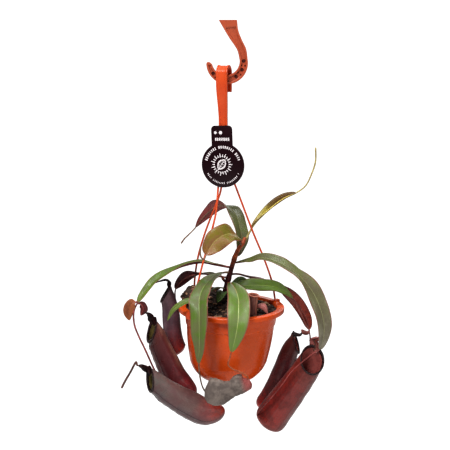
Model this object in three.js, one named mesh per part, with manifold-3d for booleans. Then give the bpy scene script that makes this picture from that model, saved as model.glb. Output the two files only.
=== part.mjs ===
// A tropical pitcher plant in an orange hanging pot, with its hanger, label and bracket hook.
// Millimetres, +Z up. The pieces are laid out round the centre of the pot's rim, and the whole
// group is then lowered so that its origin is the flat top of the bracket hook.
import * as THREE from 'three';
import { mergeVertices } from 'three/addons/utils/BufferGeometryUtils.js';
import Module from 'manifold-3d';

const wasm = await Module();
wasm.setup();

// ---- driving dimensions ----------------------------------------------------------------
const GAP = 0.3;                       // clearance between pieces that rest on each other
const ROUND_STEPS = 28;                // facets round the pot and the soil

const POT = {
  centreX: -1.3,
  tilt: 0.6,                           // degrees that the loaded pot hangs lower on its right
  lean: 0.045,                         // sideways run of the thin pot's axis for its height
  rimRadius: 70,
  skirtDepth: 6,                       // how far the rolled rim turns down
  floorZ: -95,
  drainRadius: 1.9,
  drainCircle: 18,
  drainCount: 5,
};
// Outside of the pot below its rim, [radius, z]: shoulder, step, curved side, two ring lines, foot.
const POT_OUTSIDE = [
  [61.9, -7.5], [60.4, -15], [59.6, -22.6], [58.2, -23.8], [57.2, -38], [55.2, -54], [52.2, -70],
  [50.8, -75.6], [46.9, -83.8], [42.2, -89.8], [37, -94.8], [31, -98.4], [27, -96.8],
];
// Inside of the pot, from the rim down to the floor.
const POT_INSIDE = [
  [60.3, -0.8], [58.1, -22.9], [55.7, -38], [53.5, -54], [48.8, -72], [41.2, -87.4], [30.5, POT.floorZ],
];
const SOIL_LEVEL = -4;                 // height of the soil where it meets the pot

const HOOK = {
  thickness: 7.5,
  bowl: { x: -9, z: 320.5, radius: 17.7 },
  back: { x: -7.3, z: 318, radius: 26.5 },
  topZ: 372,
  recess: 2.2,                         // depth of the panel between the two flanges
  holes: { x: -8.2, z: 319.2, circle: 22, radius: 1.9, angles: [4, -26, -56, -112, -140] },
};
const HOOK_TOP = [-18, 5.2];           // left and right end of the flat top
const HOOK_OUTER = [[6.9, 359], [11.5, 347], [16.9, 335.6], [19.2, 325.8]];
const HOOK_INNER = [[9.1, 327], [5.2, 334.9], [-5.3, 350.6]];

const STRAP = {
  x: -11.3,
  yaw: -19,                            // degrees the hanger is turned about its own length
  thickness: 4,
  groove: 0.8,
  rib: 1.7,
  bottomZ: 204,
  archZ: 305,
  archRadius: 8.9,
  tailZ: 281,
};
const LEG_RADIUS = 1.3;
const LEG_SPREAD = 3.9;                // spacing of the legs where they meet the strap
const CLIP = { width: 7, wall: 1.4, tongueZ: -2.8, barb: 1.6, seat: 66 };

const TAG = {
  offset: -1.4, radius: 29, neckHalf: 14.3, neckTop: 239, centreZ: 188, thickness: 1, corner: 5,
  swing: 2.2,                          // degrees it hangs off plumb, foot to the right
};

const LEAF_THICKNESS = 1.1;
const TENDRIL_RADIUS = 1.1;
const CUP_WALL = 1.2;
const STEM_SIDES = 10;

// ---- shared helpers --------------------------------------------------------------------
const radians = degrees => degrees * Math.PI / 180;
const mix = (a, b, share) => a + (b - a) * share;
const clamp = value => Math.min(Math.max(value, 0), 1);
const vector = row => new THREE.Vector3(row[0], row[1], row[2]);

function smooth(from, to, value) {
  const share = clamp((value - from) / (to - from));
  return share * share * (3 - 2 * share);
}

/** Row at parameter t (0 to 1) of the Catmull-Rom curve through rows of numbers. */
function curveAt(rows, t) {
  const last = rows.length - 1;
  const start = Math.min(Math.floor(t * last), last - 1);
  const f = t * last - start;
  const row = index => {
    if (index < 0) return rows[0].map((value, i) => 2 * value - rows[1][i]);
    if (index > last) return rows[last].map((value, i) => 2 * value - rows[last - 1][i]);
    return rows[index];
  };
  const [a, b, c, d] = [row(start - 1), row(start), row(start + 1), row(start + 2)];
  return b.map((value, i) => 0.5 * (2 * value + (c[i] - a[i]) * f
    + (2 * a[i] - 5 * value + 4 * c[i] - d[i]) * f * f
    + (3 * value - a[i] - 3 * c[i] + d[i]) * f * f * f));
}

function directionAt(rows, t) {
  const step = 0.002;
  const before = vector(curveAt(rows, Math.max(t - step, 0)));
  const after = vector(curveAt(rows, Math.min(t + step, 1)));
  return after.sub(before).normalize();
}

/** Piecewise-linear value of [[place, value], ...] at a place. */
function tableAt(table, place) {
  const next = table.findIndex(entry => entry[0] >= place);
  if (next <= 0) return table[next === 0 ? 0 : table.length - 1][1];
  const [a, b] = [table[next - 1], table[next]];
  return mix(a[1], b[1], (place - a[0]) / (b[0] - a[0]));
}

function signedVolume(points, faces) {
  let total = 0;
  for (let i = 0; i < faces.length; i += 3) {
    const [a, b, c] = [points[faces[i]], points[faces[i + 1]], points[faces[i + 2]]];
    total += a.dot(b.clone().cross(c));
  }
  return total / 6;
}

function geometryOf(points, faces) {
  if (signedVolume(points, faces) < 0) faces.reverse();
  const geometry = new THREE.BufferGeometry();
  geometry.setAttribute('position', new THREE.Float32BufferAttribute(points.flatMap(p => p.toArray()), 3));
  geometry.setIndex(faces);
  geometry.computeVertexNormals();
  return geometry;
}

/** Closed body through rings of equal count; the second half of each ring splits the other way. */
function loft(rings) {
  const count = rings[0].length;
  const points = rings.flat();
  const faces = [];
  for (let i = 0; i + 1 < rings.length; i += 1) {
    for (let j = 0; j < count; j += 1) {
      const a = i * count + j;
      const b = i * count + (j + 1) % count;
      if (j < count / 2) faces.push(a, b, b + count, a, b + count, a + count);
      else faces.push(a, b, a + count, b, b + count, a + count);
    }
  }
  for (const [index, ring] of [[0, rings[0]], [rings.length - 1, rings.at(-1)]]) {
    const centre = ring.reduce((sum, p) => sum.add(p), new THREE.Vector3()).divideScalar(count);
    points.push(centre);
    const hub = points.length - 1;
    for (let j = 0; j < count; j += 1) {
      const a = index * count + j;
      const b = index * count + (j + 1) % count;
      if (index === 0) faces.push(hub, b, a);
      else faces.push(hub, a, b);
    }
  }
  return geometryOf(points, faces);
}

function solidOf(geometry) {
  const bare = new THREE.BufferGeometry();
  bare.setAttribute('position', geometry.getAttribute('position').clone());
  if (geometry.index) bare.setIndex(geometry.index.clone());
  const merged = mergeVertices(bare, 1e-4);
  return new wasm.Manifold(new wasm.Mesh({
    numProp: 3,
    vertProperties: new Float32Array(merged.getAttribute('position').array),
    triVerts: new Uint32Array(merged.index.array),
  }));
}

function geometryFrom(solid) {
  const mesh = solid.getMesh();
  const geometry = new THREE.BufferGeometry();
  geometry.setAttribute('position', new THREE.Float32BufferAttribute(mesh.vertProperties, mesh.numProp));
  geometry.setIndex(Array.from(mesh.triVerts));
  geometry.computeVertexNormals();
  return geometry;
}

function joined(first, ...others) {
  return geometryFrom(others.reduce((sum, geometry) => sum.add(solidOf(geometry)), solidOf(first)));
}

function cut(body, ...tools) {
  return geometryFrom(tools.reduce((rest, geometry) => rest.subtract(solidOf(geometry)), solidOf(body)));
}

/** Keeps the largest body of a geometry that a cut has left in several. */
function largestOf(geometry) {
  const bodies = solidOf(geometry).decompose();
  bodies.sort((a, b) => b.volume() - a.volume());
  return geometryFrom(bodies[0]);
}

/** Rod with round section along rows [x, y, z]; radius is a number or a table along the rod. */
function rod(rows, radius, sides, steps) {
  const side = sideOf(rows, 0, rows.length - 1);
  const rings = [];
  for (let i = 0; i <= steps; i += 1) {
    const t = i / steps;
    const centre = vector(curveAt(rows, t));
    const along = directionAt(rows, t);
    const across = side.clone().addScaledVector(along, -side.dot(along)).normalize();
    const up = new THREE.Vector3().crossVectors(along, across);
    const size = typeof radius === 'number' ? radius : tableAt(radius, t);
    rings.push(Array.from({ length: sides }, (_, j) => {
      const angle = 2 * Math.PI * j / sides;
      return centre.clone().addScaledVector(across, size * Math.cos(angle))
        .addScaledVector(up, size * Math.sin(angle));
    }));
  }
  return loft(rings);
}

/** Level direction square to the way that rows run between two of them. */
function sideOf(rows, from, to) {
  const run = vector(rows[to]).sub(vector(rows[from]));
  if (Math.hypot(run.x, run.y) < 0.01) return new THREE.Vector3(1, 0, 0);
  return new THREE.Vector3(run.y, -run.x, 0).normalize();
}

// ---- leaves ----------------------------------------------------------------------------
const BLADE_COLUMNS = [-1, -0.5, 0, 0.5, 1];

/** Share of full width at share s of a blade that is widest at peak. */
function bladeShape(s, peak) {
  const sharpness = 1.4;
  const inside = clamp(s);
  return (inside / peak) ** (sharpness * peak) * ((1 - inside) / (1 - peak)) ** (sharpness * (1 - peak));
}

/**
 * Blade with a keeled midrib, waved edges and, past its last blade row, a round tendril.
 * rows are [x, y, z, roll in degrees]; bladeRows of them carry the blade.
 */
function leaf({
  rows, bladeRows, width, peak = 0.45, fold = 25, wave = 1, waves = 3, stalk = 0.12, steps = 9, tail = 8,
  tip = TENDRIL_RADIUS,
}) {
  const bladeEnd = (bladeRows - 1) / (rows.length - 1);
  const places = Array.from({ length: steps + 1 }, (_, i) => bladeEnd * i / steps);
  if (bladeRows < rows.length) {
    for (let i = 1; i <= tail; i += 1) places.push(mix(bladeEnd, 1, i / tail));
  }
  const side = sideOf(rows, 0, bladeRows - 1);
  return loft(places.map(t => {
    const row = curveAt(rows, t);
    const centre = vector(row);
    const along = directionAt(rows, t);
    const across = side.clone().addScaledVector(along, -side.dot(along)).normalize()
      .applyAxisAngle(along, radians(row[3] ?? 0));
    const up = new THREE.Vector3().crossVectors(across, along);
    const share = t / bladeEnd;
    const half = width * bladeShape((share - stalk) / (1 - stalk), peak);
    const flatness = smooth(tip * 0.8, tip * 2.2, half);
    const lift = radians(fold);
    const ring = [];
    for (const face of [1, -1]) {
      const columns = face > 0 ? BLADE_COLUMNS : [...BLADE_COLUMNS].reverse();
      for (const u of columns) {
        const ripple = wave * Math.sin(2 * Math.PI * waves * share + (u > 0 ? 1.1 : 0)) * u * u;
        const rib = u === 0 ? (face > 0 ? -0.25 : -0.75) : 0;
        const angle = radians(90 - 72 * u);
        const flatSide = u * half * Math.cos(lift);
        const flatUp = Math.abs(u) * half * Math.sin(lift) + ripple * clamp(half / width * 1.4)
          + face * LEAF_THICKNESS / 2 + rib;
        const roundSide = tip * Math.cos(angle);
        const roundUp = face * tip * Math.sin(angle);
        ring.push(centre.clone()
          .addScaledVector(across, mix(roundSide, flatSide, flatness))
          .addScaledVector(up, mix(roundUp, flatUp, flatness)));
      }
    }
    return ring;
  }));
}

// ---- pitchers --------------------------------------------------------------------------
const CUP_SIDES = 14;
const CUP_TIP = 0.14;                  // radius of the foot's blunt end, as a share of the widest
const CUP_PLACES = [0, 0.03, 0.08, 0.16, 0.26, 0.38, 0.5, 0.62, 0.74, 0.85, 0.93, 1];
const CUP_INNER_PLACES = [0.92, 0.74, 0.54, 0.34, 0.18];
const NECK_SINK = 6;                   // how far down the back wall the neck is rooted
// Rolled lip: [outwards, along] steps from the mouth's edge.
const LIP = [[1.7, -0.3], [1.7, 1.2], [-0.6, 1.6], [-1.6, -1.4]];

/** Radius share at t of a cup: an elliptic foot over `foot` of the axis, then a taper to the mouth. */
function cupShare(t, foot, mouth) {
  if (t < foot) return Math.max(CUP_TIP, Math.sqrt(1 - (1 - t / foot) ** 2));
  return mix(1, mouth, ((t - foot) / (1 - foot)) ** 1.3);
}

/**
 * Hollow pitcher from foot to mouth with two wings down its front; the mouth slants to the front.
 * With solidBy it is the filled outer form instead, grown by that much.
 */
function cup({ axis, radius, foot, mouth, front, slant, wing = 2, lip = 1 }, solidBy = null) {
  const facing = vector(front);
  const frameAt = t => {
    const along = directionAt(axis, t);
    const ahead = facing.clone().addScaledVector(along, -facing.dot(along)).normalize();
    const side = new THREE.Vector3().crossVectors(along, ahead);
    return { centre: vector(curveAt(axis, t)), along, ahead, side };
  };
  const ringAt = (t, grow, push, winged) => {
    const { centre, along, ahead, side } = frameAt(t);
    const size = radius * cupShare(t, foot, mouth) + grow;
    const sheared = Math.tan(radians(slant)) * smooth(0.5, 1, t);
    return Array.from({ length: CUP_SIDES }, (_, j) => {
      const angle = 2 * Math.PI * j / CUP_SIDES;
      const isWing = winged && (j === 1 || j === CUP_SIDES - 1);
      const reach = size + (isWing ? wing * smooth(0.06, 0.2, t) * (1 - smooth(0.93, 1, t) * 0.5) : 0);
      return centre.clone()
        .addScaledVector(ahead, reach * Math.cos(angle))
        .addScaledVector(side, reach * Math.sin(angle))
        .addScaledVector(along, push - sheared * size * Math.cos(angle));
    });
  };
  if (solidBy !== null) {
    return loft(CUP_PLACES.map(t => ringAt(t, solidBy, t === 0 ? -2 * solidBy : 0, true)));
  }
  const rings = CUP_PLACES.map(t => ringAt(t, 0, 0, true));
  for (const [out, up] of LIP) rings.push(ringAt(1, out * lip, up * lip, false));
  for (const t of CUP_INNER_PLACES) rings.push(ringAt(t, -CUP_WALL, 0, false));
  return loft(rings);
}

/** Two points up the back of a pitcher, the second on the mouth's highest edge; the neck starts there. */
function neckStart({ axis, radius, mouth, front, slant }) {
  const along = directionAt(axis, 1);
  const facing = vector(front);
  const ahead = facing.clone().addScaledVector(along, -facing.dot(along)).normalize();
  const size = radius * mouth;
  const edge = vector(curveAt(axis, 1)).addScaledVector(ahead, -size)
    .addScaledVector(along, size * Math.tan(radians(slant)));
  return [edge.clone().addScaledVector(along, -NECK_SINK), edge];
}

// ---- the plant's own layout: rows of [x, y, z, roll] round the rim's centre --------------
const STEM_ROWS = [
  [-13, 13, -14], [-12, 13, -1], [-11, 12, 9], [-9, 11, 21], [-4, 10, 39], [1, 9, 57], [6, 9, 71],
  [13, 10, 82], [17, 12, 90],
];
const STEM_CLEAR_TIP = [17.3, 12.15, 90.6];  // the stem's tip carried on by more than one GAP
const STEM_STEPS = 23;
const STEM_RADII = [
  [0, 3.4], [0.2, 3.6], [0.25, 4.2], [0.3, 3.5], [0.42, 3.4], [0.47, 4], [0.52, 3.3], [0.62, 3.1],
  [0.66, 3.7], [0.71, 3], [0.82, 2.8], [0.88, 3.2], [0.93, 2.6], [1, 2.2],
];

// Hollow of the soil round the foot of the stem.
const STEM_WELL = { rows: [[-13, 13, -14.6], [-12, 13, -1], [-11, 12, 9], [-9, 11, 21]], radius: 4.9 };

const SIDE_BUD = {
  rows: [[-8, 10, 28], [-12, 6.5, 34], [-15, 5, 40]],
  radii: [[0, 1.2], [0.6, 2], [1, 0.6]],
};

// Mound of bark at the left of the rim: centre and half sizes.
const HEAP = { centre: [-50, 18, 7], size: [17, 14, 14], steps: 8 };

const LEAVES = {
  leaf_new: {
    rows: [[17, 12, 86, 0], [28, 22, 105, 0], [46, 28, 122, 10], [66, 32, 137, 10], [85, 34, 146, 10],
      [97, 35, 155, 0], [104, 36, 168, 0], [110, 36, 187, 0], [110, 36, 207, 0]],
    bladeRows: 5, width: 7, fold: 48, wave: 0.3, waves: 2, stalk: 0.16, tail: 8, colour: 'leafGolden',
  },
  leaf_top: {
    rows: [[3, 9, 62, 0], [9, 16, 72, 0], [12, 21, 84, 0], [10, 27, 98, 0], [5, 38, 114, 0],
      [-6, 52, 124, 15], [-20, 66, 124, 45], [-32, 78, 113, 55], [-43, 88, 100, 50], [-52, 94, 87, 30],
      [-62, 98, 76, 0], [-67, 99, 71, 0], [-72, 98, 64, 0]],
    bladeRows: 10, width: 11.5, fold: 14, wave: 1.5, waves: 4, stalk: 0.02, steps: 13, tail: 5,
    colour: 'leafOlive',
  },
  leaf_olive: {
    rows: [[11, 9, 79, -10], [8, -4, 92, -30], [-4, -16, 100, -45], [-18, -30, 97, -50],
      [-28, -40, 88, -50], [-34, -46, 78, -40], [-37, -48, 73, 0], [-41, -49, 78, 0], [-41, -48, 90, 0]],
    bladeRows: 6, width: 15, peak: 0.55, fold: 8, wave: 1.6, waves: 3, stalk: 0.1, tail: 6,
    colour: 'leafOlive',
  },
  leaf_right: {
    rows: [[1, 9, 56, 0], [22, -4, 62, 0], [38, -14, 68, 0], [61, -26, 63, 0], [82, -35, 51, 10],
      [98, -41, 35, 30], [109, -45, 16, 45], [116, -47, -6, 50], [117, -47, -27, 50], [112, -45, -47, 45],
      [104, -47, -51, 0], [91, -44, -63, 0], [77, -39, -78, 0], [64, -36, -98, 0], [48, -30, -121, 0],
      [37, -21, -137, 0], [33, -9, -148, 0], [37, -1, -157, 0], [47, 0, -160, 0]],
    bladeRows: 10, width: 12, peak: 0.6, fold: 20, wave: 1.2, waves: 4, stalk: 0, steps: 14, tail: 10,
    carries: 'pitcher_front_right',
  },
  leaf_long: {
    rows: [[-1, 9, 50, 0], [-23, 18, 52, 0], [-43, 22, 54, 0], [-70, 20, 48, -5], [-97, 14, 35, -25],
      [-114, 8, 20, -40], [-126, 2, 3, -40], [-131, -1, -9, 0], [-130, -5, -25, 0], [-124, -9, -40, 0],
      [-117, -12, -54, 0], [-110, -13, -70, 0], [-104, -13, -84, 0], [-96, -11, -100, 0],
      [-83, -8, -120, 0], [-66, -6, -136, 0], [-53, -6, -138, 0], [-54, -6, -125, 0]],
    bladeRows: 7, width: 8.5, peak: 0.62, fold: 20, wave: 0.7, waves: 3, stalk: 0.02, steps: 11, tail: 11,
    carries: 'pitcher_mid_left',
  },
  leaf_maroon: {
    rows: [[-5, 10, 36, 0], [-15, 12, 37, 0], [-27, 17, 38, 0], [-41, 23, 38, 10], [-55, 28, 35, 45],
      [-67, 34, 27, 60], [-77, 38, 13, 60], [-76, 43, -3, 0], [-74, 45, -32, 0], [-72, 46, -61, 0],
      [-67, 44, -84, 0], [-67, 34, -88, 0], [-72, 27, -72, 0]],
    bladeRows: 7, width: 9, peak: 0.62, fold: 12, wave: 0.9, waves: 3, stalk: 0.1, tail: 8,
    colour: 'leafMaroon', carries: 'pitcher_rear_left',
  },
  leaf_front_left: {
    rows: [[-3, 10, 43, 0], [-14, -1, 45, 0], [-27, -22, 42, 0], [-37, -49, 37, 0], [-42, -68, 27, 0],
      [-42, -79, 12, 0], [-42, -84, -10, 0], [-42, -84, -32, 0], [-43, -80, -55, 0], [-42, -58, -80, 0],
      [-39, -24, -106, 0], [-32, -14, -120, 0], [-20, -16, -131, 0], [-12, -26, -134, 0],
      [-15, -43, -130, 0]],
    bladeRows: 9, width: 13, peak: 0.5, fold: 12, wave: 1.3, waves: 4, stalk: 0.1, steps: 12, tail: 10,
    carries: 'pitcher_front_left',
  },
  leaf_front: {
    rows: [[-7, 10, 29, 0], [-2, -4, 31, 0], [3, -25, 29, 0], [7, -52, 22, 0], [7, -72, 12, 0],
      [6, -82, -1, 0], [3, -84, -19, 0], [-2, -82, -39, 0], [-4, -83, -46, 0], [-6, -83, -55, 0],
      [0, -82, -61, 0],
      [10, -80, -66, 0], [18, -77, -72, 0], [19, -75, -77, 0]],
    bladeRows: 8, width: 15, peak: 0.5, fold: 14, wave: 1.2, waves: 3, stalk: 0.1, steps: 11, tail: 9,
    carries: 'pitcher_withered',
  },
  leaf_right_low: {
    rows: [[-8, 11, 25, 0], [4, 4, 26, 20], [16, 0, 27, 35], [34, 2, 27, 40], [53, 8, 24, 40],
      [69, 11, 17, 40], [81, 14, 6, 40], [83, 14, 3, 0], [90, 14, -12, 0], [99, 12, -30, 0],
      [104, 10, -38, 0]],
    bladeRows: 7, width: 9, fold: 14, wave: 0.9, waves: 3, stalk: 0.1, tail: 6,
  },
  leaf_behind: {
    rows: [[-4, 11, 40, 0], [8, 19, 39, 0], [20, 30, 33, 0], [40, 42, 25, 0], [63, 50, 14, -25],
      [78, 54, 1, -50], [92, 56, -15, -60], [102, 55, -32, -60], [106, 52, -48, -40], [108, 54, -62, 0],
      [107, 57, -80, 0], [99, 59, -99, 0], [79, 61, -132, 0], [60, 58, -154, 0], [49, 50, -166, 0],
      [46, 42, -166, 0], [47, 40, -155, 0]],
    bladeRows: 9, width: 9.5, peak: 0.66, fold: 16, wave: 0.9, waves: 3, stalk: 0.12, steps: 11, tail: 9,
    colour: 'leafMaroon', carries: 'pitcher_rear_right',
  },
  leaf_left_small: {
    rows: [[-9, 12, 20, 0], [-19, -4, 26, 0], [-32, -24, 25, -10], [-48, -45, 20, -20], [-63, -47, 16, -30],
      [-76, -48, 7, -30], [-84, -47, -8, -30]],
    bladeRows: 7, width: 6, peak: 0.6, fold: 14, wave: 0.5, waves: 2, stalk: 0.14, tip: 0.8,
  },
  leaf_low: {
    rows: [[-11, 12, 13, 0], [-11, 2, 18, 0], [-15, -11, 18, -10], [-20, -23, 10, -20]],
    bladeRows: 4, width: 7, fold: 14, wave: 0.5, waves: 2, stalk: 0.14, steps: 7, tip: 0.8,
  },
  leaf_rear_small: {
    rows: [[-10, 12, 17, 0], [3, 21, 24, 10], [14, 29, 27, 30], [25, 36, 23, 30]],
    bladeRows: 4, width: 7.5, fold: 14, wave: 0.5, waves: 2, stalk: 0.14, steps: 7, tip: 0.8,
  },
};

// Bud-like end of the low right leaf's tendril.
const KNOB = {
  rows: [[104, 10, -38], [100, 9, -40], [96, 8, -39], [92, 8, -35]],
  radii: [[0, 1], [0.3, 2.8], [0.7, 3.2], [1, 1]],
};

// A dried leaf that arches over the soil; both its ends lie on it.
const DRIED_LEAF = {
  rows: [[28, -21, -3, 0], [33, -23, 7, 20], [41, -28, 6, 30], [46, -30, -4, 30]],
  bladeRows: 4, width: 4.2, fold: -20, wave: 0.6, waves: 2, stalk: 0, steps: 7,
};

// The two withered flaps at the end of the long leaf.
const LONG_LEAF_FLAPS = [
  { rows: [[-125, 2, 5, 0], [-134, 0, 3, -70], [-142, -1, -7, -80], [-141, -2, -20, -80]], width: 6 },
  { rows: [[-127, 2, 2, 0], [-120, 1, 0, -60], [-117, 1, -7, -80], [-121, 1, -14, -80]], width: 5 },
];

const PITCHERS = {
  pitcher_front_left: {
    axis: [[-13, -43, -130], [-26, -44, -132], [-39, -45, -130], [-56, -46, -121], [-71, -47, -112],
      [-87, -47, -102], [-98, -48, -93], [-107, -48, -86]],
    radius: 18, foot: 0.48, mouth: 0.66, front: [-0.3, -0.35, -0.9], slant: 38, colour: 'pitcherGrey',
    lid: {
      rows: [[-112, -49, -69, 0], [-118, -50, -67, 0], [-123, -51, -67, 0], [-125, -51, -62, 0],
        [-132, -51, -75, 0], [-139, -51, -87, 0], [-144, -52, -97, 0]],
      bladeRows: 5, width: 9, fold: -50, tail: 5,
    },
  },
  pitcher_mid_left: {
    axis: [[-53, -6, -128], [-62, -6, -116], [-77, -6, -97], [-87, -6, -75], [-96, -6, -55],
      [-102, -6, -41], [-107, -6, -32]],
    radius: 16.6, foot: 0.3, mouth: 0.68, front: [-0.9, -0.45, -0.35], slant: 42, colour: 'pitcherGrey',
    lid: {
      rows: [[-103, -6, -20, 0], [-109, -7, -11, 0], [-116, -8, -7, 0]],
      bladeRows: 5, width: 10, fold: -45,
    },
  },
  pitcher_rear_left: {
    axis: [[-71, 27, -74], [-77, 27, -65], [-81, 27, -48], [-83, 27, -22], [-86, 27, -4], [-90, 27, 10]],
    radius: 12.6, foot: 0.22, mouth: 0.66, front: [-1, -0.35, 0], slant: 42, colour: 'pitcherGrey',
    lid: {
      rows: [[-83, 26, 26, 0], [-91, 25, 30, 0], [-105, 24, 25, 0]],
      bladeRows: 5, width: 7, fold: -40,
    },
  },
  pitcher_front_right: {
    axis: [[46, 2, -168], [51, 0, -160], [58, -3, -146], [72, -8, -124], [86, -14, -100], [98, -19, -80],
      [107, -22, -65]],
    radius: 20, foot: 0.24, mouth: 0.8, front: [0.05, -1, -0.2], slant: 48, colour: 'pitcherRed',
    lid: {
      rows: [[112, -9, -41, 0], [112, -16, -37, 0], [106, -27, -35, 0], [99, -34, -38, 0]],
      bladeRows: 6, width: 8, fold: -20,
    },
  },
  pitcher_rear_right: {
    axis: [[46, 40, -161], [48, 40, -153], [55, 39, -141], [65, 36, -118], [76, 33, -88], [84, 32, -72],
      [92, 31, -62]],
    radius: 16.5, foot: 0.26, mouth: 0.52, front: [1, -0.2, -0.7], slant: 50, colour: 'pitcherRed',
    lid: { rows: [[92, 32, -48, 0], [95, 30, -44, 0]], bladeRows: 4, width: 6, fold: -40 },
  },
};

const SMALL_PITCHER = {
  axis: [[25, -37, -11], [25, -38, -4], [25, -37, 6], [26, -36, 15], [27, -35, 23]],
  radius: 6.2, foot: 0.4, mouth: 0.86, front: [0, -1, 0], slant: 12, wing: 0.7, lip: 0.4,
};

// Hollow of the soil that the small pitcher stands in.
const SMALL_WELL = {
  rows: [[25, -37, -11.8], [25, -38, -4], [25, -37, 8]],
  radii: [[0, 2.4], [0.25, 7.2], [1, 7.6]],
};

const WITHERED = {
  rows: [[21, -75, -76], [16, -75, -82], [8, -75, -84], [-1, -77, -88], [-12, -78, -91], [-22, -78, -92],
    [-31, -78, -91], [-36, -78, -90]],
  radii: [
    [0, 1.2], [0.06, 6], [0.16, 12], [0.3, 14], [0.45, 12], [0.55, 14], [0.7, 17], [0.86, 14], [1, 5],
  ],
};

// ---- materials -------------------------------------------------------------------------
const plain = (color, roughness) => new THREE.MeshStandardMaterial({ color, roughness, metalness: 0 });
const MATERIALS = {
  potPlastic: plain(0xcd5528, 0.35),
  hangerPlastic: plain(0xdc5a32, 0.4),
  hookPlastic: plain(0xbe5a41, 0.45),
  label: plain(0x2d1923, 0.3),
  soil: plain(0x3a2a22, 0.95),
  stem: plain(0x8a3a22, 0.6),
  leafGreen: plain(0x6e8755, 0.45),
  leafOlive: plain(0x827846, 0.5),
  leafGolden: plain(0xb09a40, 0.5),
  leafMaroon: plain(0x6e2d2d, 0.45),
  leafDried: plain(0xa5655a, 0.8),
  pitcherGrey: plain(0x5f4b4b, 0.4),
  pitcherRed: plain(0x6e3230, 0.4),
  pitcherWithered: plain(0x6e645c, 0.85),
};

const plant = new THREE.Group();
plant.name = 'hanging_pitcher_plant';

function add(name, geometry, material) {
  const mesh = new THREE.Mesh(geometry, material);
  mesh.name = name;
  plant.add(mesh);
  return mesh;
}

// ---- pot -------------------------------------------------------------------------------
function lathe(profile, steps = ROUND_STEPS) {
  const points = [...profile, profile[0]].map(([radius, z]) => new THREE.Vector2(radius, z));
  const geometry = new THREE.LatheGeometry(points, steps);
  geometry.rotateX(Math.PI / 2);
  const bare = new THREE.BufferGeometry();
  bare.setAttribute('position', geometry.getAttribute('position'));
  bare.setIndex(geometry.index);
  const merged = mergeVertices(bare, 1e-4);
  const corners = merged.getAttribute('position');
  const spot = index => new THREE.Vector3().fromBufferAttribute(corners, index);
  const spots = Array.from({ length: corners.count }, (_, i) => spot(i));
  const faces = [];
  for (let i = 0; i < merged.index.count; i += 3) {
    const face = [0, 1, 2].map(k => merged.index.getX(i + k));
    if (new Set(face).size === 3) faces.push(...face);
  }
  return geometryOf(spots, faces);
}

/** Leans a piece drawn round the pot's own axis, and moves it to the pot's place. */
function toPot(geometry) {
  geometry.applyMatrix4(new THREE.Matrix4().makeShear(0, 0, 0, 0, POT.lean, 0));
  geometry.rotateY(radians(POT.tilt));
  geometry.translate(POT.centreX, 0, 0);
  return geometry;
}

function makePot() {
  const wallTop = POT_INSIDE[0][0];
  const shoulder = POT_OUTSIDE[0][0];
  const skin = 1.6;
  const rim = [
    [wallTop + 0.6, 0], [POT.rimRadius - 0.9, 0], [POT.rimRadius, -1], [POT.rimRadius, -POT.skirtDepth],
    [POT.rimRadius - skin, -POT.skirtDepth], [POT.rimRadius - skin, -skin], [shoulder, -skin],
  ];
  const floorOutside = [0, POT_OUTSIDE.at(-1)[1]];
  const floorInside = [0, POT_INSIDE.at(-1)[1]];
  const shell = lathe([...rim, ...POT_OUTSIDE, floorOutside, floorInside, ...[...POT_INSIDE].reverse()]);
  const drains = Array.from({ length: POT.drainCount }, (_, i) => {
    const angle = 2 * Math.PI * (i + 0.5) / POT.drainCount;
    const hole = new THREE.CylinderGeometry(POT.drainRadius, POT.drainRadius, 12, 8);
    hole.rotateX(Math.PI / 2);
    hole.translate(POT.drainCircle * Math.cos(angle), POT.drainCircle * Math.sin(angle), POT.floorZ - 1);
    return hole;
  });
  return toPot(cut(shell, ...drains));
}

/** Height of the soil: level at the wall, lumpy inside, heaped at the left rear. */
function soilHeight(x, y) {
  const edge = 1 - smooth(45, 58, Math.hypot(x, y));
  const heap = 17 * Math.exp(-((x + 36) ** 2 + (y - 24) ** 2) / 620);
  const middle = 9 * Math.exp(-((x + 8) ** 2 + (y - 14) ** 2) / 900);
  const lumps = 1.5 * Math.sin(x * 0.43 + 1.3) * Math.cos(y * 0.37) + 1.1 * Math.sin(x * 0.21 - y * 0.33);
  return SOIL_LEVEL + edge * (heap + middle + 1 + lumps);
}

/** Bark heaped over the left of the rim, with a hollow for the rim under it. */
function makeHeap() {
  const { centre, size, steps } = HEAP;
  const rings = Array.from({ length: steps + 1 }, (_, i) => {
    const up = Math.PI * (i / steps - 0.5) * 0.98;
    return Array.from({ length: 14 }, (_point, j) => {
      const angle = 2 * Math.PI * j / 14;
      const bump = 1 + 0.1 * Math.sin(3 * angle + 4 * up) + 0.07 * Math.sin(5 * angle - 7 * up);
      return new THREE.Vector3(
        centre[0] + size[0] * bump * Math.cos(up) * Math.cos(angle),
        centre[1] + size[1] * bump * Math.cos(up) * Math.sin(angle),
        centre[2] + size[2] * bump * Math.sin(up),
      );
    });
  });
  const low = POT_INSIDE[1][0] - 2 * GAP;
  const high = POT_INSIDE[0][0] - 2 * GAP;
  const wall = lathe([[low, -30], [80, -30], [80, GAP], [high, GAP]]);
  return cut(loft(rings), toPot(wall));
}

function makeSoil() {
  const inset = GAP + 0.05;
  const floor = POT_INSIDE.at(-1)[1] + inset;
  const wallPlaces = [...POT_INSIDE].reverse().map(([radius, z]) => [radius - inset, z]);
  wallPlaces[0][1] = floor;
  const below = wallPlaces.slice(0, -1);
  const [low, high] = wallPlaces.slice(-2);
  const topRadius = mix(low[0], high[0], (SOIL_LEVEL - low[1]) / (high[1] - low[1]));
  const rings = [...below, [topRadius, SOIL_LEVEL]].map(([radius, z]) => soilRing(radius, () => z));
  for (const radius of [55, 48, 40, 32, 24, 15, 5]) rings.push(soilRing(radius, soilHeight));
  return toPot(loft(rings));
}

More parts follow.
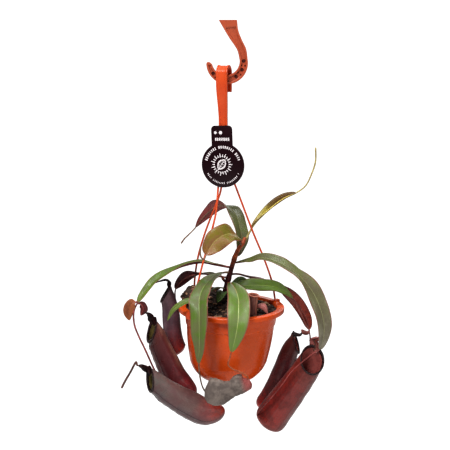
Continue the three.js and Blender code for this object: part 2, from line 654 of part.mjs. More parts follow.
function soilRing(radius, height) {
  return Array.from({ length: ROUND_STEPS }, (_, i) => {
    const angle = 2 * Math.PI * i / ROUND_STEPS;
    const [x, y] = [radius * Math.sin(angle), radius * Math.cos(angle)];
    return new THREE.Vector3(x, y, height(x, y));
  });
}

// ---- hanger ----------------------------------------------------------------------------
/** Turns a piece drawn across X, with its face towards -Y, to the hanger's own yaw and place. */
function toHanger(geometry) {
  geometry.rotateZ(radians(STRAP.yaw));
  geometry.translate(STRAP.x, 0, 0);
  return geometry;
}

const STRAP_LOW_Y = -3;                // where the lower strap runs, in front of the hook's middle

function strapPath() {
  const front = -STRAP.archRadius;
  const path = [[STRAP_LOW_Y, STRAP.bottomZ], [STRAP_LOW_Y, 243], [-4.6, 262], [-7.4, 280], [front, 293]];
  const steps = 8;
  for (let i = 0; i <= steps; i += 1) {
    const angle = Math.PI * (1 - i / steps);
    path.push([STRAP.archRadius * Math.cos(angle), STRAP.archZ + STRAP.archRadius * Math.sin(angle)]);
  }
  path.push([STRAP.archRadius, 292], [STRAP.archRadius, STRAP.tailZ]);
  return path;
}

/** Ribbed band: two raised edges with a groove between them on both faces. */
function makeStrap() {
  const path = strapPath();
  const rings = path.map(([y, z], i) => {
    const before = path[Math.max(i - 1, 0)];
    const after = path[Math.min(i + 1, path.length - 1)];
    const run = new THREE.Vector2(after[0] - before[0], after[1] - before[1]).normalize();
    const outward = new THREE.Vector2(-run.y, run.x);
    const half = tableAt([[200, 5.8], [250, 5.6], [285, 7.2], [400, 7.5]], z);
    const wall = STRAP.thickness / 2;
    const face = [[-half, wall], [-half + STRAP.rib, wall], [-half + STRAP.rib + 0.4, wall - STRAP.groove],
      [half - STRAP.rib - 0.4, wall - STRAP.groove], [half - STRAP.rib, wall], [half, wall]];
    const section = [...face, ...face.map(([x, up]) => [-x, -up])];
    return section.map(([x, up]) => new THREE.Vector3(x, y + outward.x * up, z + outward.y * up));
  });
  return toHanger(loft(rings));
}

/** Clip that straddles the rim at an angle round the pot: top plate, inner tongue, hooked outer wall. */
function rimClip(degrees) {
  const inside = POT_INSIDE[0][0] - 4 * GAP;
  const outside = POT.rimRadius + GAP;
  const under = -POT.skirtDepth - GAP;
  const top = GAP + CLIP.wall;
  const outline = new THREE.Shape([
    [inside - CLIP.wall, top], [inside - CLIP.wall, CLIP.tongueZ], [inside, CLIP.tongueZ],
    [inside, GAP], [outside, GAP], [outside, under], [outside - CLIP.barb, under],
    [outside - CLIP.barb, under - 1], [outside + CLIP.wall, under - 1], [outside + CLIP.wall, top],
  ].map(([radius, z]) => new THREE.Vector2(radius, z)));
  const clip = new THREE.ExtrudeGeometry(outline, { depth: CLIP.width, bevelEnabled: false });
  clip.translate(0, 0, -CLIP.width / 2);
  clip.rotateX(Math.PI / 2);
  clip.rotateZ(radians(degrees));
  return toPot(clip);
}

// Each leg: its place across the strap's end, its angle round the rim, and its run between the two.
const LEGS = {
  hanger_leg_front: {
    slot: -1,
    angle: 218,
    rows: [[-18.7, -0.4, 160], [-20, -4, 144], [-22, -9, 125], [-26, -14, 108], [-34, -21, 79],
      [-41, -27, 54], [-48, -34, 25]],
  },
  hanger_leg_rear: {
    slot: 0,
    angle: 140,
    rows: [[-15, 8, 156], [-22, 14, 133], [-30, 21, 112], [-38, 27, 89], [-46, 35, 60], [-51, 41, 28]],
  },
  hanger_leg_right: {
    slot: 1,
    angle: 26.5,
    rows: [[-6.5, -1.5, 186], [3, 5, 161], [26, 14, 99], [41, 20, 62], [53, 26, 27]],
  },
};

function makeLeg({ slot, angle, rows }) {
  const turned = point => point.applyAxisAngle(new THREE.Vector3(0, 0, 1), radians(STRAP.yaw));
  const top = turned(new THREE.Vector3(slot * LEG_SPREAD, STRAP_LOW_Y, STRAP.bottomZ - GAP));
  top.x += STRAP.x;
  const foot = new THREE.Vector3(Math.cos(radians(angle)), Math.sin(radians(angle)), 0)
    .multiplyScalar(CLIP.seat)
    .setZ(1)
    .applyAxisAngle(new THREE.Vector3(0, 1, 0), radians(POT.tilt));
  const route = [top.toArray(), [top.x, top.y, top.z - 9], ...rows, [foot.x + POT.centreX, foot.y, foot.z]];
  return joined(rod(route, LEG_RADIUS, 8, 10), rimClip(angle));
}

// ---- label -----------------------------------------------------------------------------
function arc(x, z, radius, from, to, steps) {
  return Array.from({ length: steps + 1 }, (_, i) => {
    const angle = radians(mix(from, to, i / steps));
    return new THREE.Vector2(x + radius * Math.cos(angle), z + radius * Math.sin(angle));
  });
}

function makeTag() {
  const { offset, radius, neckHalf, neckTop, centreZ, thickness, corner } = TAG;
  const shoulder = Math.acos(neckHalf / radius) * 180 / Math.PI;
  const outline = new THREE.Shape([
    ...arc(offset, centreZ, radius, 180 - shoulder, 360 + shoulder, 24),
    ...arc(offset + neckHalf - corner, neckTop - corner, corner, 0, 90, 4),
    ...arc(offset - neckHalf + corner, neckTop - corner, corner, 90, 180, 4),
  ]);
  const tag = new THREE.ExtrudeGeometry(outline, { depth: thickness, bevelEnabled: false });
  tag.rotateX(Math.PI / 2);
  tag.translate(0, 0, -neckTop);
  tag.rotateY(radians(-TAG.swing));
  tag.translate(0, STRAP_LOW_Y - STRAP.thickness / 2 - GAP, neckTop);
  return toHanger(tag);
}

// ---- bracket hook ----------------------------------------------------------------------
function extrudedFlat(outline, depth, fromY, segments = 9) {
  const body = new THREE.ExtrudeGeometry(outline, { depth, bevelEnabled: false, curveSegments: segments });
  body.rotateX(Math.PI / 2);
  body.translate(0, fromY + depth, 0);
  return body;
}

function makeHook() {
  const { bowl, back, thickness, recess, holes } = HOOK;
  const outline = new THREE.Shape();
  outline.moveTo(HOOK_TOP[0], HOOK.topZ);
  outline.lineTo(HOOK_TOP[1], HOOK.topZ);
  for (const [x, z] of HOOK_OUTER) outline.lineTo(x, z);
  outline.absarc(back.x, back.z, back.radius, radians(12), radians(-190), true);
  outline.lineTo(-30.6, 323.6);
  outline.lineTo(-27.6, 320);
  outline.absarc(bowl.x, bowl.z, bowl.radius, radians(186), radians(360), false);
  for (const [x, z] of HOOK_INNER) outline.lineTo(x, z);

  const panel = new THREE.Shape();
  const flange = 2.4;
  panel.moveTo(HOOK_TOP[0] + 5.5, HOOK.topZ - 5);
  panel.lineTo(HOOK_TOP[1] - 2.5, HOOK.topZ - 5);
  for (const [x, z] of HOOK_OUTER) panel.lineTo(x - flange, z);
  panel.absarc(back.x, back.z, back.radius - flange, radians(6), radians(-172), true);
  panel.absarc(bowl.x, bowl.z, bowl.radius + flange, radians(192), radians(354), false);
  for (const [x, z] of HOOK_INNER) panel.lineTo(x + flange, z);

  const half = thickness / 2;
  const panels = [-half - 1, half - recess].map(y => extrudedFlat(panel, recess + 1, y));
  const punches = holes.angles.map(degrees => {
    const hole = new THREE.CylinderGeometry(holes.radius, holes.radius, thickness * 2, 10);
    const angle = radians(degrees);
    hole.translate(holes.x + holes.circle * Math.cos(angle), 0, holes.z + holes.circle * Math.sin(angle));
    return hole;
  });
  return cut(extrudedFlat(outline, thickness, -half), ...panels, ...punches);
}

// ---- withered pitcher ------------------------------------------------------------------
/** Collapsed, puckered pitcher: a closed lump, flatter front to back than it is tall. */
function makeWithered(grow = 0) {
  const sides = 14;
  const steps = 14;
  const flatten = 0.62;
  const rings = Array.from({ length: steps + 1 }, (_, i) => {
    const t = i / steps;
    const centre = vector(curveAt(WITHERED.rows, t));
    const along = directionAt(WITHERED.rows, t);
    const ahead = new THREE.Vector3(0, -1, 0).addScaledVector(along, along.y).normalize();
    const up = new THREE.Vector3().crossVectors(ahead, along);
    const size = tableAt(WITHERED.radii, t) + grow;
    return Array.from({ length: sides }, (_, j) => {
      const angle = 2 * Math.PI * j / sides;
      const pucker = 1 + 0.09 * Math.sin(3 * angle + 9 * t) + 0.06 * Math.sin(5 * angle - 17 * t);
      return centre.clone()
        .addScaledVector(ahead, size * flatten * pucker * Math.cos(angle))
        .addScaledVector(up, size * pucker * Math.sin(angle));
    });
  });
  return loft(rings);
}

// ---- assembly --------------------------------------------------------------------------
const stemRod = rod(STEM_ROWS, STEM_RADII, STEM_SIDES, STEM_STEPS);
const sideBud = rod(SIDE_BUD.rows, SIDE_BUD.radii, 8, 5);
const stemClearance = joined(
  rod(STEM_ROWS, STEM_RADII.map(([t, radius]) => [t, radius + GAP]), STEM_SIDES, STEM_STEPS),
  rod([STEM_ROWS.at(-2), STEM_CLEAR_TIP], STEM_RADII.at(-1)[1] + GAP, STEM_SIDES, 1),
);
const stemWell = rod(STEM_WELL.rows, STEM_WELL.radius, 12, 5);

add('pot', makePot(), MATERIALS.potPlastic);
add('bracket_hook', makeHook(), MATERIALS.hookPlastic);
add('hanger_strap', makeStrap(), MATERIALS.hangerPlastic);
for (const [name, leg] of Object.entries(LEGS)) add(name, makeLeg(leg), MATERIALS.hangerPlastic);
add('hanging_label', makeTag(), MATERIALS.label);
add('stem', joined(stemRod, sideBud), MATERIALS.stem);

for (const [name, spec] of Object.entries(LEAVES)) {
  const extras = [];
  if (name === 'leaf_long') {
    for (const flap of LONG_LEAF_FLAPS) {
      extras.push(leaf({ ...flap, bladeRows: 4, fold: 12, wave: 0.4, steps: 6 }));
    }
  }
  if (name === 'leaf_right_low') extras.push(rod(KNOB.rows, KNOB.radii, 8, 6));
  const blade = extras.length > 0 ? joined(leaf(spec), ...extras) : leaf(spec);
  const keepOut = [stemClearance];
  if (spec.carries === 'pitcher_withered') keepOut.push(makeWithered(4 * GAP));
  else if (spec.carries) keepOut.push(cup(PITCHERS[spec.carries], GAP));
  add(name, largestOf(cut(blade, ...keepOut)), MATERIALS[spec.colour ?? 'leafGreen']);
}

for (const [name, spec] of Object.entries(PITCHERS)) {
  const rows = [...neckStart(spec).map(point => [...point.toArray(), 0]), ...spec.lid.rows];
  const neck = leaf({ peak: 0.35, wave: 0.4, waves: 2, stalk: 0, steps: 8, ...spec.lid, rows });
  add(name, joined(cup(spec), neck), MATERIALS[spec.colour]);
}
add('pitcher_small', cup(SMALL_PITCHER), MATERIALS.leafDried);
add('pitcher_withered', makeWithered(), MATERIALS.pitcherWithered);

const smallWell = rod(SMALL_WELL.rows, SMALL_WELL.radii, 12, 4);
const soil = cut(joined(makeSoil(), makeHeap()), stemWell, smallWell);
add('soil', soil, MATERIALS.soil);
const raisedSoil = makeSoil();
raisedSoil.translate(0, 0, GAP);
add('leaf_dried', largestOf(cut(leaf(DRIED_LEAF), raisedSoil)), MATERIALS.leafDried);

// The origin is the middle of the bracket hook's flat top.
const shift = [-(HOOK_TOP[0] + HOOK_TOP[1]) / 2, 0, -HOOK.topZ];
for (const mesh of plant.children) mesh.geometry.translate(...shift);

export default plant;
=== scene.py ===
"""Dresses the hanging pitcher plant: pot, hanger, label, hook, soil, stem, leaves and pitchers.

Every piece is shaped in millimetres round the centre of the pot's rim, +Z up, and then moved to
the frame's own place, in metres, whose origin is the flat top of the bracket hook.
"""

import logging
import math
import random
from dataclasses import dataclass, replace
from enum import Enum
from typing import Callable, ClassVar, Sequence

import bmesh
import bpy
from mathutils import Matrix, Vector, noise

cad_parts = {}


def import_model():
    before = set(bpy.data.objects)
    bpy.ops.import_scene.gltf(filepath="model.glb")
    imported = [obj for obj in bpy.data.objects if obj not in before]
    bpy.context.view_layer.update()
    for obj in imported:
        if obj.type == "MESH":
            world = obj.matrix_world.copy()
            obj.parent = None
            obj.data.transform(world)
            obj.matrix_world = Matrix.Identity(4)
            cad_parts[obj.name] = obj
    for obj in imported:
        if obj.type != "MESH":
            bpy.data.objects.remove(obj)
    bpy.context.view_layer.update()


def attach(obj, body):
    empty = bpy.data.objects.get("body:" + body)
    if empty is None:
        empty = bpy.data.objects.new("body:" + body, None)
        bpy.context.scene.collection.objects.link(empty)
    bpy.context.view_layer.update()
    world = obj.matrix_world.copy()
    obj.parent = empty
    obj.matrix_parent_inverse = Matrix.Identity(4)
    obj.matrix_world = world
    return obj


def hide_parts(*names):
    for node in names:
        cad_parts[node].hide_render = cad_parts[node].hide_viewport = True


LOG = logging.getLogger("pitcher_plant")
ORIGIN = Vector((6.4, 0.0, -372.0))
MILLIMETRE = 0.001

Row = Sequence[float]
Rows = Sequence[Row]
Table = Sequence[tuple[float, float]]
Place = Callable[[float, float], Vector]


# ---- curves ----
def mix(start: float, end: float, share: float) -> float:
    """Value at a share of the way from start to end."""
    return start + (end - start) * share


def smooth(low: float, high: float, value: float) -> float:
    """Smooth step from 0 at low to 1 at high."""
    share = min(max((value - low) / (high - low), 0.0), 1.0)
    return share * share * (3 - 2 * share)


def curve_at(rows: Rows, t: float) -> list[float]:
    """Row at t of the Catmull-Rom curve through rows.

    Args:
        rows: Rows of equal length.
        t: Place along the curve, 0 to 1.

    Returns:
        The row there.
    """
    last = len(rows) - 1
    start = min(int(t * last), last - 1)
    f = t * last - start
    b, c = rows[start], rows[start + 1]
    a = rows[start - 1] if start > 0 else [2 * p - q for p, q in zip(b, c)]
    d = rows[start + 2] if start + 2 <= last else [2 * q - p for p, q in zip(b, c)]
    return [
        0.5 * (2 * q + (r - p) * f + (2 * p - 5 * q + 4 * r - s) * f * f + (3 * q - p - 3 * r + s) * f ** 3)
        for p, q, r, s in zip(a, b, c, d)
    ]


def point_at(rows: Rows, t: float) -> Vector:
    """Point at t of the curve through rows."""
    return Vector(curve_at(rows, t)[:3])


def direction_at(rows: Rows, t: float) -> Vector:
    """Unit direction at t of the curve through rows."""
    step = 0.002
    return (point_at(rows, min(t + step, 1)) - point_at(rows, max(t - step, 0))).normalized()


def table_at(table: Table, place: float) -> float:
    """Value of a table of (place, value), straight between its entries.

    Args:
        table: Its entries, in order.
        place: Where it is read.

    Returns:
        The value there.
    """
    if place <= table[0][0]:
        return table[0][1]
    for (p, a), (q, b) in zip(table, table[1:]):
        if place <= q:
            return mix(a, b, (place - p) / (q - p))
    return table[-1][1]


def side_of(rows: Rows, first: int, last: int) -> Vector:
    """Level direction square to the way that rows run between two of them.

    Args:
        rows: Points of a line.
        first: Index of the run's start.
        last: Index of its end.

    Returns:
        The direction, or X where the run is upright.
    """
    run = Vector(rows[last][:3]) - Vector(rows[first][:3])
    if math.hypot(run.x, run.y) < 0.01:
        return Vector((1, 0, 0))
    return Vector((run.y, -run.x, 0)).normalized()


def square_to(direction: Vector, along: Vector) -> Vector:
    """Unit part of a direction that is square to along."""
    return (direction - along * direction.dot(along)).normalized()


def ripple(point: Vector, size: float, seed: float = 0.0) -> float:
    """Smooth noise in -1 to 1 whose lumps are about size millimetres across."""
    return noise.noise(point / size + Vector((seed, 2 * seed, -seed)))


def polar(radius: float, angle: float) -> tuple[float, float]:
    """Point of a circle round the origin, at an angle in radians."""
    return radius * math.cos(angle), radius * math.sin(angle)


def rounded(corners: Rows, radius: float, steps: int = 3) -> list[Vector]:
    """Open outline whose inner corners are rounded.

    Args:
        corners: Points of the outline.
        radius: How far from each corner its rounding starts, where the sides are long enough.
        steps: Pieces in each rounding.

    Returns:
        Points of the rounded outline.
    """
    points = [Vector(corner) for corner in corners]
    outline = [points[0]]
    for before, corner, after in zip(points, points[1:], points[2:]):
        reach = min(radius, (before - corner).length * 0.45, (after - corner).length * 0.45)
        start = corner + (before - corner).normalized() * reach
        end = corner + (after - corner).normalized() * reach
        for i in range(steps + 1):
            share = i / steps
            outline.append(start.lerp(corner, share).lerp(corner.lerp(end, share), share))
    return outline + [points[-1]]


# ---- work on meshes ----
class Piece:
    """A piece in the making: one bmesh in millimetres, with a UV chart on each of its sheets."""

    def __init__(self, name: str) -> None:
        """Starts an empty piece under its name.

        Args:
            name: Name of the piece.
        """
        self.name = name
        self.mesh = bmesh.new()
        self.uv = self.mesh.loops.layers.uv.new("UVMap")

    def sheet(self, columns: int, rows: int, place: Place, finish: int = 0) -> list[bmesh.types.BMVert]:
        """Adds a grid bent to a surface.

        Args:
            columns: Faces across.
            rows: Faces along.
            place: Gives the point at (u, v), each 0 to 1.
            finish: Index of the material on it.

        Returns:
            Its vertices.
        """
        made = bmesh.ops.create_grid(self.mesh, x_segments=columns, y_segments=rows, size=0.5)["verts"]
        for face in self.paint(made, finish):
            for loop in face.loops:
                loop[self.uv].uv = (loop.vert.co.x + 0.5, loop.vert.co.y + 0.5)
        for vert in made:
            vert.co = place(vert.co.x + 0.5, vert.co.y + 0.5)
        return made

    @staticmethod
    def paint(verts: Sequence[bmesh.types.BMVert], finish: int) -> set[bmesh.types.BMFace]:
        """Gives the faces round some vertices a material.

        Args:
            verts: The vertices.
            finish: Index of the material.

        Returns:
            The faces.
        """
        faces = {face for vert in verts for face in vert.link_faces}
        for face in faces:
            face.material_index = finish
        return faces

    def tube(self, rows: Rows, radius: Table, sides: int, steps: int, finish: int = 0,
             drop: float = 0.0, bumps: float = 0.0) -> None:
        """Adds a round rod with closed ends.

        Args:
            rows: Its middle line, [x, y, z].
            radius: Table of its radius along the line.
            sides: Faces round it.
            steps: Faces along it.
            finish: Index of the material on it.
            drop: How far it is moved off the line, towards the under side.
            bumps: Height of its unevenness.
        """
        side = side_of(rows, 0, len(rows) - 1)

        def place(u: float, v: float) -> Vector:
            """Point of the rod's skin, drawn in to a point at both ends.

            Args:
                u: Share of the turn.
                v: Share of the length.

            Returns:
                The point.
            """
            along = direction_at(rows, v)
            across = square_to(side, along)
            up = along.cross(across)
            end = min(v, 1 - v) * steps
            size = table_at(radius, v) * math.sqrt(min(end / 1.5, 1.0))
            angle = 2 * math.pi * u
            centre = point_at(rows, v) + up * (-drop if up.z > 0 else drop)
            out = across * math.cos(angle) + up * math.sin(angle)
            return centre + out * (size + bumps * ripple(centre + out * size, 3.0) * min(end, 1.0))

        self.sheet(sides, steps, place, finish)

    def weld(self, distance: float = 0.01) -> None:
        """Merges doubles, and faces every closed shell outwards.

        Args:
            distance: How close vertices are merged.
        """
        bmesh.ops.remove_doubles(self.mesh, verts=self.mesh.verts, dist=distance)
        bmesh.ops.dissolve_degenerate(self.mesh, edges=self.mesh.edges, dist=distance * 0.1)
        bmesh.ops.recalc_face_normals(self.mesh, faces=self.mesh.faces)

    def cap(self) -> None:
        """Closes the open ends that are left."""
        open_edges = [edge for edge in self.mesh.edges if edge.is_boundary]
        bmesh.ops.holes_fill(self.mesh, edges=open_edges, sides=0)

    def prism(self, outline: Rows, normal: Vector, depth: float, edge: float = 0.0,
              finish: int = 0) -> None:
        """Adds a flat outline pulled to a depth, with its edges eased.

        Args:
            outline: Corners in order.
            normal: The way it is pulled.
            depth: How far it is pulled.
            edge: Width of the eased edges.
            finish: Index of the material on it.
        """
        corners = [self.mesh.verts.new(corner) for corner in outline]
        base = self.mesh.faces.new(corners)
        base.material_index = finish
        lifted = bmesh.ops.extrude_face_region(self.mesh, geom=[base], use_keep_orig=True)["geom"]
        verts = [part for part in lifted if isinstance(part, bmesh.types.BMVert)]
        bmesh.ops.translate(self.mesh, verts=verts, vec=normal * depth)
        faces = {face for vert in corners + verts for face in vert.link_faces}
        bmesh.ops.recalc_face_normals(self.mesh, faces=list(faces))
        if edge > 0:
            rims = [line for line in {line for face in faces for line in face.edges} if self.is_sharp(line)]
            bmesh.ops.bevel(self.mesh, geom=rims, offset=edge, segments=2, profile=0.5, affect="EDGES",
                            material=-1, clamp_overlap=True)

    @staticmethod
    def is_sharp(line: bmesh.types.BMEdge) -> bool:
        """Whether an edge turns by more than 40 degrees."""
        return len(line.link_faces) == 2 and line.calc_face_angle(0.0) > math.radians(40)

    def finish(self, materials: Sequence[bpy.types.Material], node: str, slot: str,
               crease: float = 50.0, holes: "Piece | None" = None) -> bpy.types.Object:
        """Moves the piece to the frame's place and hands it to the frame.

        Args:
            materials: Its materials, in the order of their indices.
            node: The CAD node that it stands for.
            slot: The record's material slot. Not used.
            crease: Edges that turn by more than this many degrees stay sharp.
            holes: A piece that is cut out of this one.

        Returns:
            The finished object.
        """
        thing = self.as_object(materials)
        if holes is not None:
            tool = holes.as_object(materials[:1])
            boolean = thing.modifiers.new("holes", "BOOLEAN")
            boolean.operation = "DIFFERENCE"
            boolean.solver = "EXACT"
            boolean.object = tool
            bpy.context.view_layer.update()
            seen = thing.evaluated_get(bpy.context.evaluated_depsgraph_get())
            thing.data = bpy.data.meshes.new_from_object(seen)
            thing.data.name = self.name
            thing.modifiers.clear()
            bpy.data.objects.remove(tool)
        thing.data.shade_smooth()
        thing.data.set_sharp_from_angle(angle=math.radians(crease))
        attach(thing, "root")
        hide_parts(node)
        LOG.info("%s: %d faces for %s", self.name, len(thing.data.polygons), node)
        return thing

    def as_object(self, materials: Sequence[bpy.types.Material]) -> bpy.types.Object:
        """Puts the piece into metres at the frame's place.

        Args:
            materials: Its materials, in the order of their indices.

        Returns:
            The object.
        """
        self.mesh.transform(Matrix.Scale(MILLIMETRE, 4) @ Matrix.Translation(ORIGIN))
        data = bpy.data.meshes.new(self.name)
        self.mesh.to_mesh(data)
        self.mesh.free()
        for material in materials:
            data.materials.append(material)
        thing = bpy.data.objects.new(self.name, data)
        bpy.context.scene.collection.objects.link(thing)
        return thing


# ---- colours and nodes ----
def colour(code: str) -> tuple[float, float, float, float]:
    """Linear colour of a hexadecimal code such as '6e8755'.

    Args:
        code: Red, green and blue in two digits each.

    Returns:
        The colour with a full alpha.
    """
    parts = [int(code[i:i + 2], 16) / 255 for i in (0, 2, 4)]
    red, green, blue = (p / 12.92 if p <= 0.04045 else ((p + 0.055) / 1.055) ** 2.4 for p in parts)
    return red, green, blue, 1.0


Stops = Sequence[tuple[float, str]]
Socket = bpy.types.NodeSocket
Value = float | tuple | Socket | None


class Bench:
    """Lays out and joins the nodes of one tree."""

    def __init__(self, tree: bpy.types.NodeTree) -> None:
        """Works on the nodes of a tree."""
        self.tree = tree

    def node(self, kind: str, **settings: object) -> bpy.types.Node:
        """Adds a shader node of a kind, with its settings.

        Args:
            kind: Its type, without the shader prefix.
            settings: Properties to set on it.

        Returns:
            The node.
        """
        node = self.tree.nodes.new("ShaderNode" + kind)
        for name, value in settings.items():
            setattr(node, name, value)
        return node

    def feed(self, socket: Socket, value: Value) -> None:
        """Links a socket to another, or sets its value.

        Args:
            socket: The input.
            value: A socket or a constant.
        """
        if isinstance(value, Socket):
            self.tree.links.new(value, socket)
        else:
            socket.default_value = value

    def math(self, operation: str, first: Value, second: Value = 0.0, clamp: bool = False) -> Socket:
        """Works a sum on one or two values.

        Args:
            operation: What is done.
            first: First value.
            second: Second value.
            clamp: Whether it is kept in 0 to 1.

        Returns:
            The result.
        """
        node = self.node("Math", operation=operation, use_clamp=clamp)
        self.feed(node.inputs[0], first)
        self.feed(node.inputs[1], second)
        return node.outputs[0]

    def times(self, first: Value, second: Value) -> Socket:
        """Product of two values."""
        return self.math("MULTIPLY", first, second)

    def plus(self, first: Value, second: Value) -> Socket:
        """Sum of two values."""
        return self.math("ADD", first, second)

    def minus(self, first: Value, second: Value) -> Socket:
        """First value less the second."""
        return self.math("SUBTRACT", first, second)

    def unsigned(self, value: Value) -> Socket:
        """A value without its sign."""
        return self.math("ABSOLUTE", value)

    def blend(self, share: Value, first: Value, second: Value) -> Socket:
        """Mixes two colours.

        Args:
            share: How much of the second shows.
            first: First colour.
            second: Second colour.

        Returns:
            The colour.
        """
        node = self.node("Mix", data_type="RGBA")
        for index, value in ((0, share), (6, first), (7, second)):
            self.feed(node.inputs[index], value)
        return node.outputs[2]

    def span(self, value: Value, low: float, high: float, first: float = 0.0,
             last: float = 1.0) -> Socket:
        """Moves a value smoothly from one range to another, and holds it at its ends.

        Args:
            value: What is moved.
            low: Where the range starts.
            high: Where it ends.
            first: Result at its start.
            last: Result at its end.

        Returns:
            The moved value.
        """
        node = self.node("MapRange", interpolation_type="SMOOTHSTEP")
        for index, part in enumerate((value, low, high, first, last)):
            self.feed(node.inputs[index], part)
        return node.outputs[0]

    def ramp(self, value: Value, stops: Stops) -> Socket:
        """Reads a colour off a ramp.

        Args:
            value: Place along the ramp.
            stops: Pairs of a place and a colour code.

        Returns:
            The colour.
        """
        node = self.node("ValToRGB")
        node.color_ramp.interpolation = "EASE"
        elements = node.color_ramp.elements
        while len(elements) < len(stops):
            elements.new(0.5)
        for element, (place, code) in zip(elements, stops):
            element.position = place
            element.color = colour(code)
        self.feed(node.inputs[0], value)
        return node.outputs[0]

    def noise(self, vector: Value, scale: float, detail: float = 3.0) -> Socket:
        """Adds a grey noise.

        Args:
            vector: Where it is read.
            scale: How fine it is.
            detail: How many finer layers it has.

        Returns:
            Its value, 0 to 1.
        """
        node = self.node("TexNoise")
        self.feed(node.inputs["Vector"], vector)
        node.inputs["Scale"].default_value = scale
        node.inputs["Detail"].default_value = detail
        return node.outputs[0]

    def bump(self, height: Value, strength: float, distance: float, normal: Value = None) -> Socket:
        """Bends the normal by a height.

        Args:
            height: The relief, 0 to 1.
            strength: How much of it shows.
            distance: Metres for its full height.
            normal: A normal that it is laid on.

        Returns:
            The normal.
        """
        node = self.node("Bump")
        node.inputs["Strength"].default_value = strength
        node.inputs["Distance"].default_value = distance
        self.feed(node.inputs["Height"], height)
        if normal is not None:
            self.feed(node.inputs["Normal"], normal)
        return node.outputs[0]

    def object_place(self) -> Socket:
        """The point's own place in the object, in metres."""
        return self.node("TexCoord").outputs["Object"]

    def chart(self) -> tuple[Socket, Socket]:
        """The point's place across and along its sheet, each 0 to 1.

        Returns:
            Both sockets.
        """
        split = self.node("SeparateXYZ")
        self.feed(split.inputs[0], self.node("TexCoord").outputs["UV"])
        return split.outputs[0], split.outputs[1]


class Effect(Enum):
    """Shared effects, each a node group that is built once."""

    MOTTLE = "mottle"
    SPECKS = "specks"
    GRAIN = "grain"


